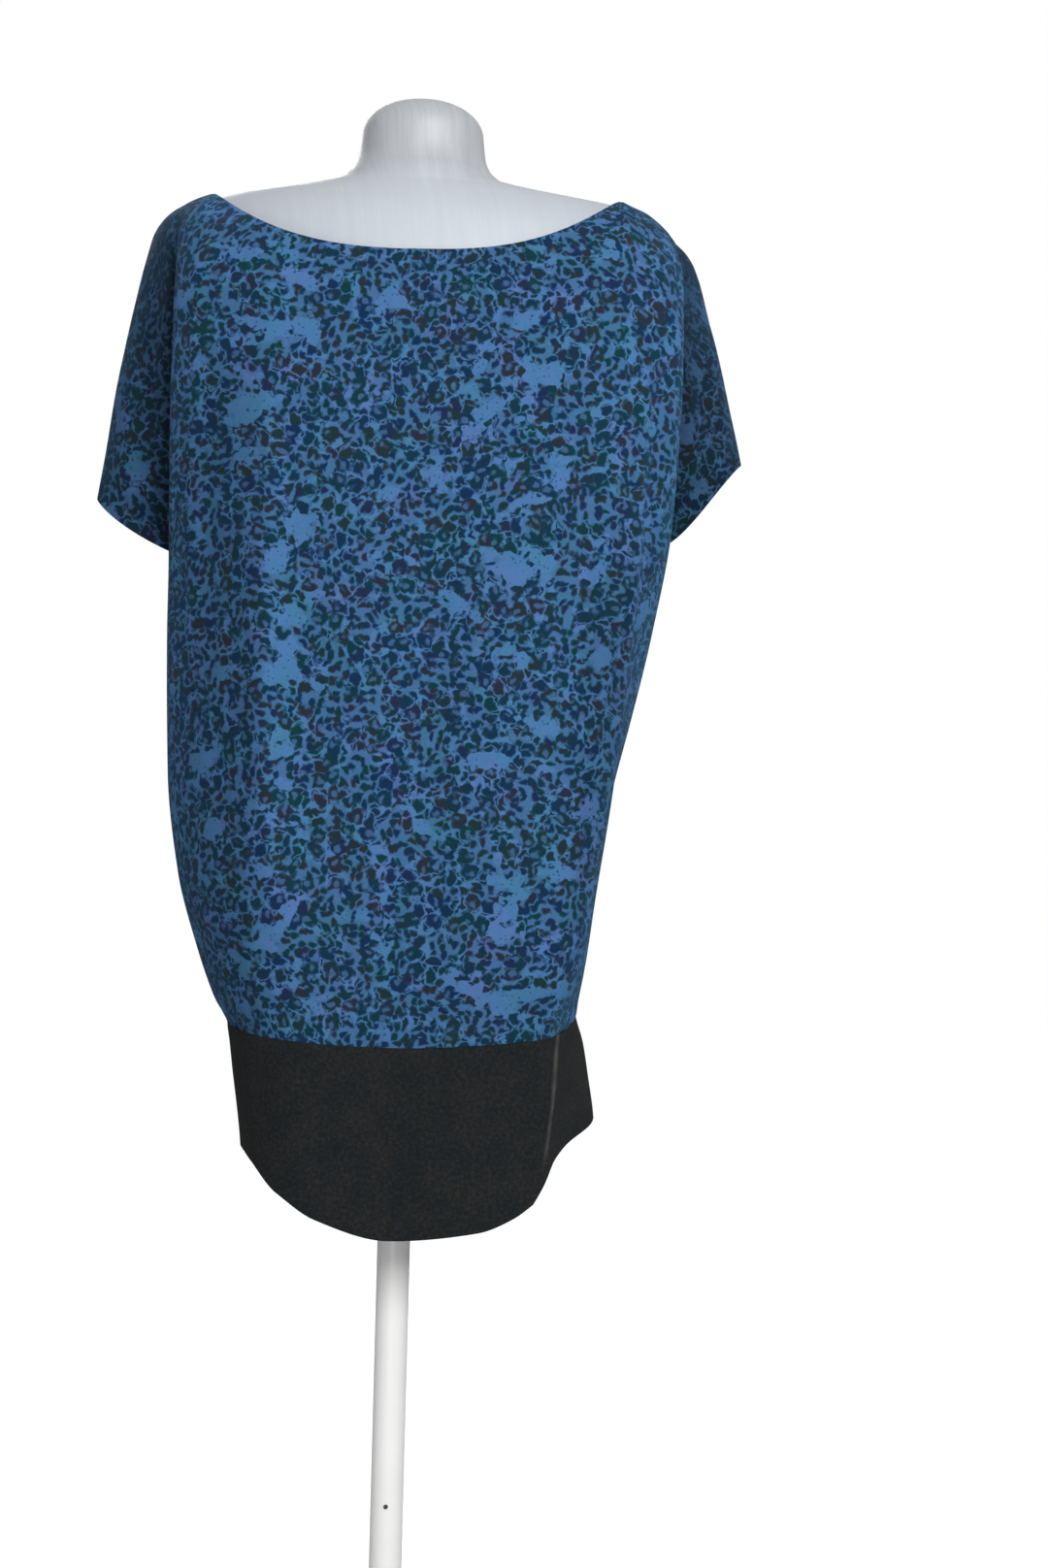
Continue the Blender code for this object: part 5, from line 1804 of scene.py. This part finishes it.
def add_floor():
    """A plain grey floor. Its glow, seen by the camera alone, makes it look as white as the room."""
    corners = ((-1, -1), (1, -1), (1, 1), (-1, 1))
    mesh = bpy.data.meshes.new("floor")
    mesh.from_pydata([(x * FLOOR_HALF, y * FLOOR_HALF, 0) for x, y in corners], [], [(0, 1, 2, 3)])
    made, n, shader = new_material("floor_paint", Roughness=0.9, Specular_IOR_Level=0.1)
    shader["Base Color"].default_value = FLOOR_COLOUR
    shader["Emission Color"].default_value = WHITE_LIGHT
    seen = n.add("ShaderNodeLightPath").outputs["Is Camera Ray"]
    n.put(shader["Emission Strength"], n.times(seen, FLOOR_GLOW))
    mesh.materials.append(made)
    placed("floor", mesh)


def add_room():
    """A white room: soft light from above, before and behind, less from the sides, and the lamps."""
    world = bpy.data.worlds.new("white_room")
    world.use_nodes = True
    n = Nodes(world.node_tree)
    x, y, z = n.split(n.add("ShaderNodeTexCoord").outputs["Generated"])
    before = n.times(n.math("MAXIMUM", n.times(y, -1.0), 0.0), LIGHT_BEFORE)
    behind = n.times(n.math("MAXIMUM", y, 0.0), LIGHT_BEHIND)
    above = n.times_plus(n.math("MAXIMUM", z, 0.0), LIGHT_ABOVE, LIGHT_ROUND)
    light = n.plus(above, n.plus(before, behind))
    seen = n.add("ShaderNodeLightPath").outputs["Is Camera Ray"]
    background = world.node_tree.nodes["Background"].inputs
    n.put(background["Color"], WHITE_LIGHT)
    n.put(background["Strength"], n.blend(seen, light, 1.0))
    bpy.context.scene.world = world
    bpy.context.scene.view_settings.view_transform = "Standard"
    add_floor()
    for lamp in LAMPS:
        add_light(*lamp)


def garment():
    """The four cloth pieces, each with the node it stands for."""
    prints = {
        "back": (
            print_knit("print_back", BACK_SHIFT, BACK_PAINTED_SHADE),
            print_knit("print_back_wrong_side", BACK_SHIFT, NO_PAINTED_SHADE, True),
        ),
        "front": (
            print_knit("print_front", FRONT_SHIFT, FRONT_PAINTED_SHADE),
            print_knit("print_front_wrong_side", FRONT_SHIFT, NO_PAINTED_SHADE, True),
        ),
    }
    bands = {"back": band_knit("band_back", fold_highlight=True), "front": band_knit("band_front")}
    band_inside = band_knit("band_wrong_side", True)
    cloths = {}
    for face in ("back", "front"):
        cloths[f"{face}_panel"] = panel_cloth(face, *prints[face])
        cloths[f"hem_band_{face}"] = band_cloth(face, bands[face], band_inside)
    return cloths


def stand():
    """The form and its stand, each piece with the node it stands for."""
    white = white_coat()
    dark = dark_steel()
    return {
        "dress_form": form_cover(silver_cover()),
        "form_socket": socket_sleeve(dark),
        "pole": pole_tube(white),
        "base": foot_plate(white),
        "base_boss": foot_boss(white),
        "pole_button": height_button(dark),
    }


def main():
    """The room, the pieces in place of their nodes, and the cut of each cloth."""
    add_camera()
    add_room()
    cloths = garment()
    for node, piece in {**cloths, **stand()}.items():
        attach(piece, "root")
        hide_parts(node)


main()
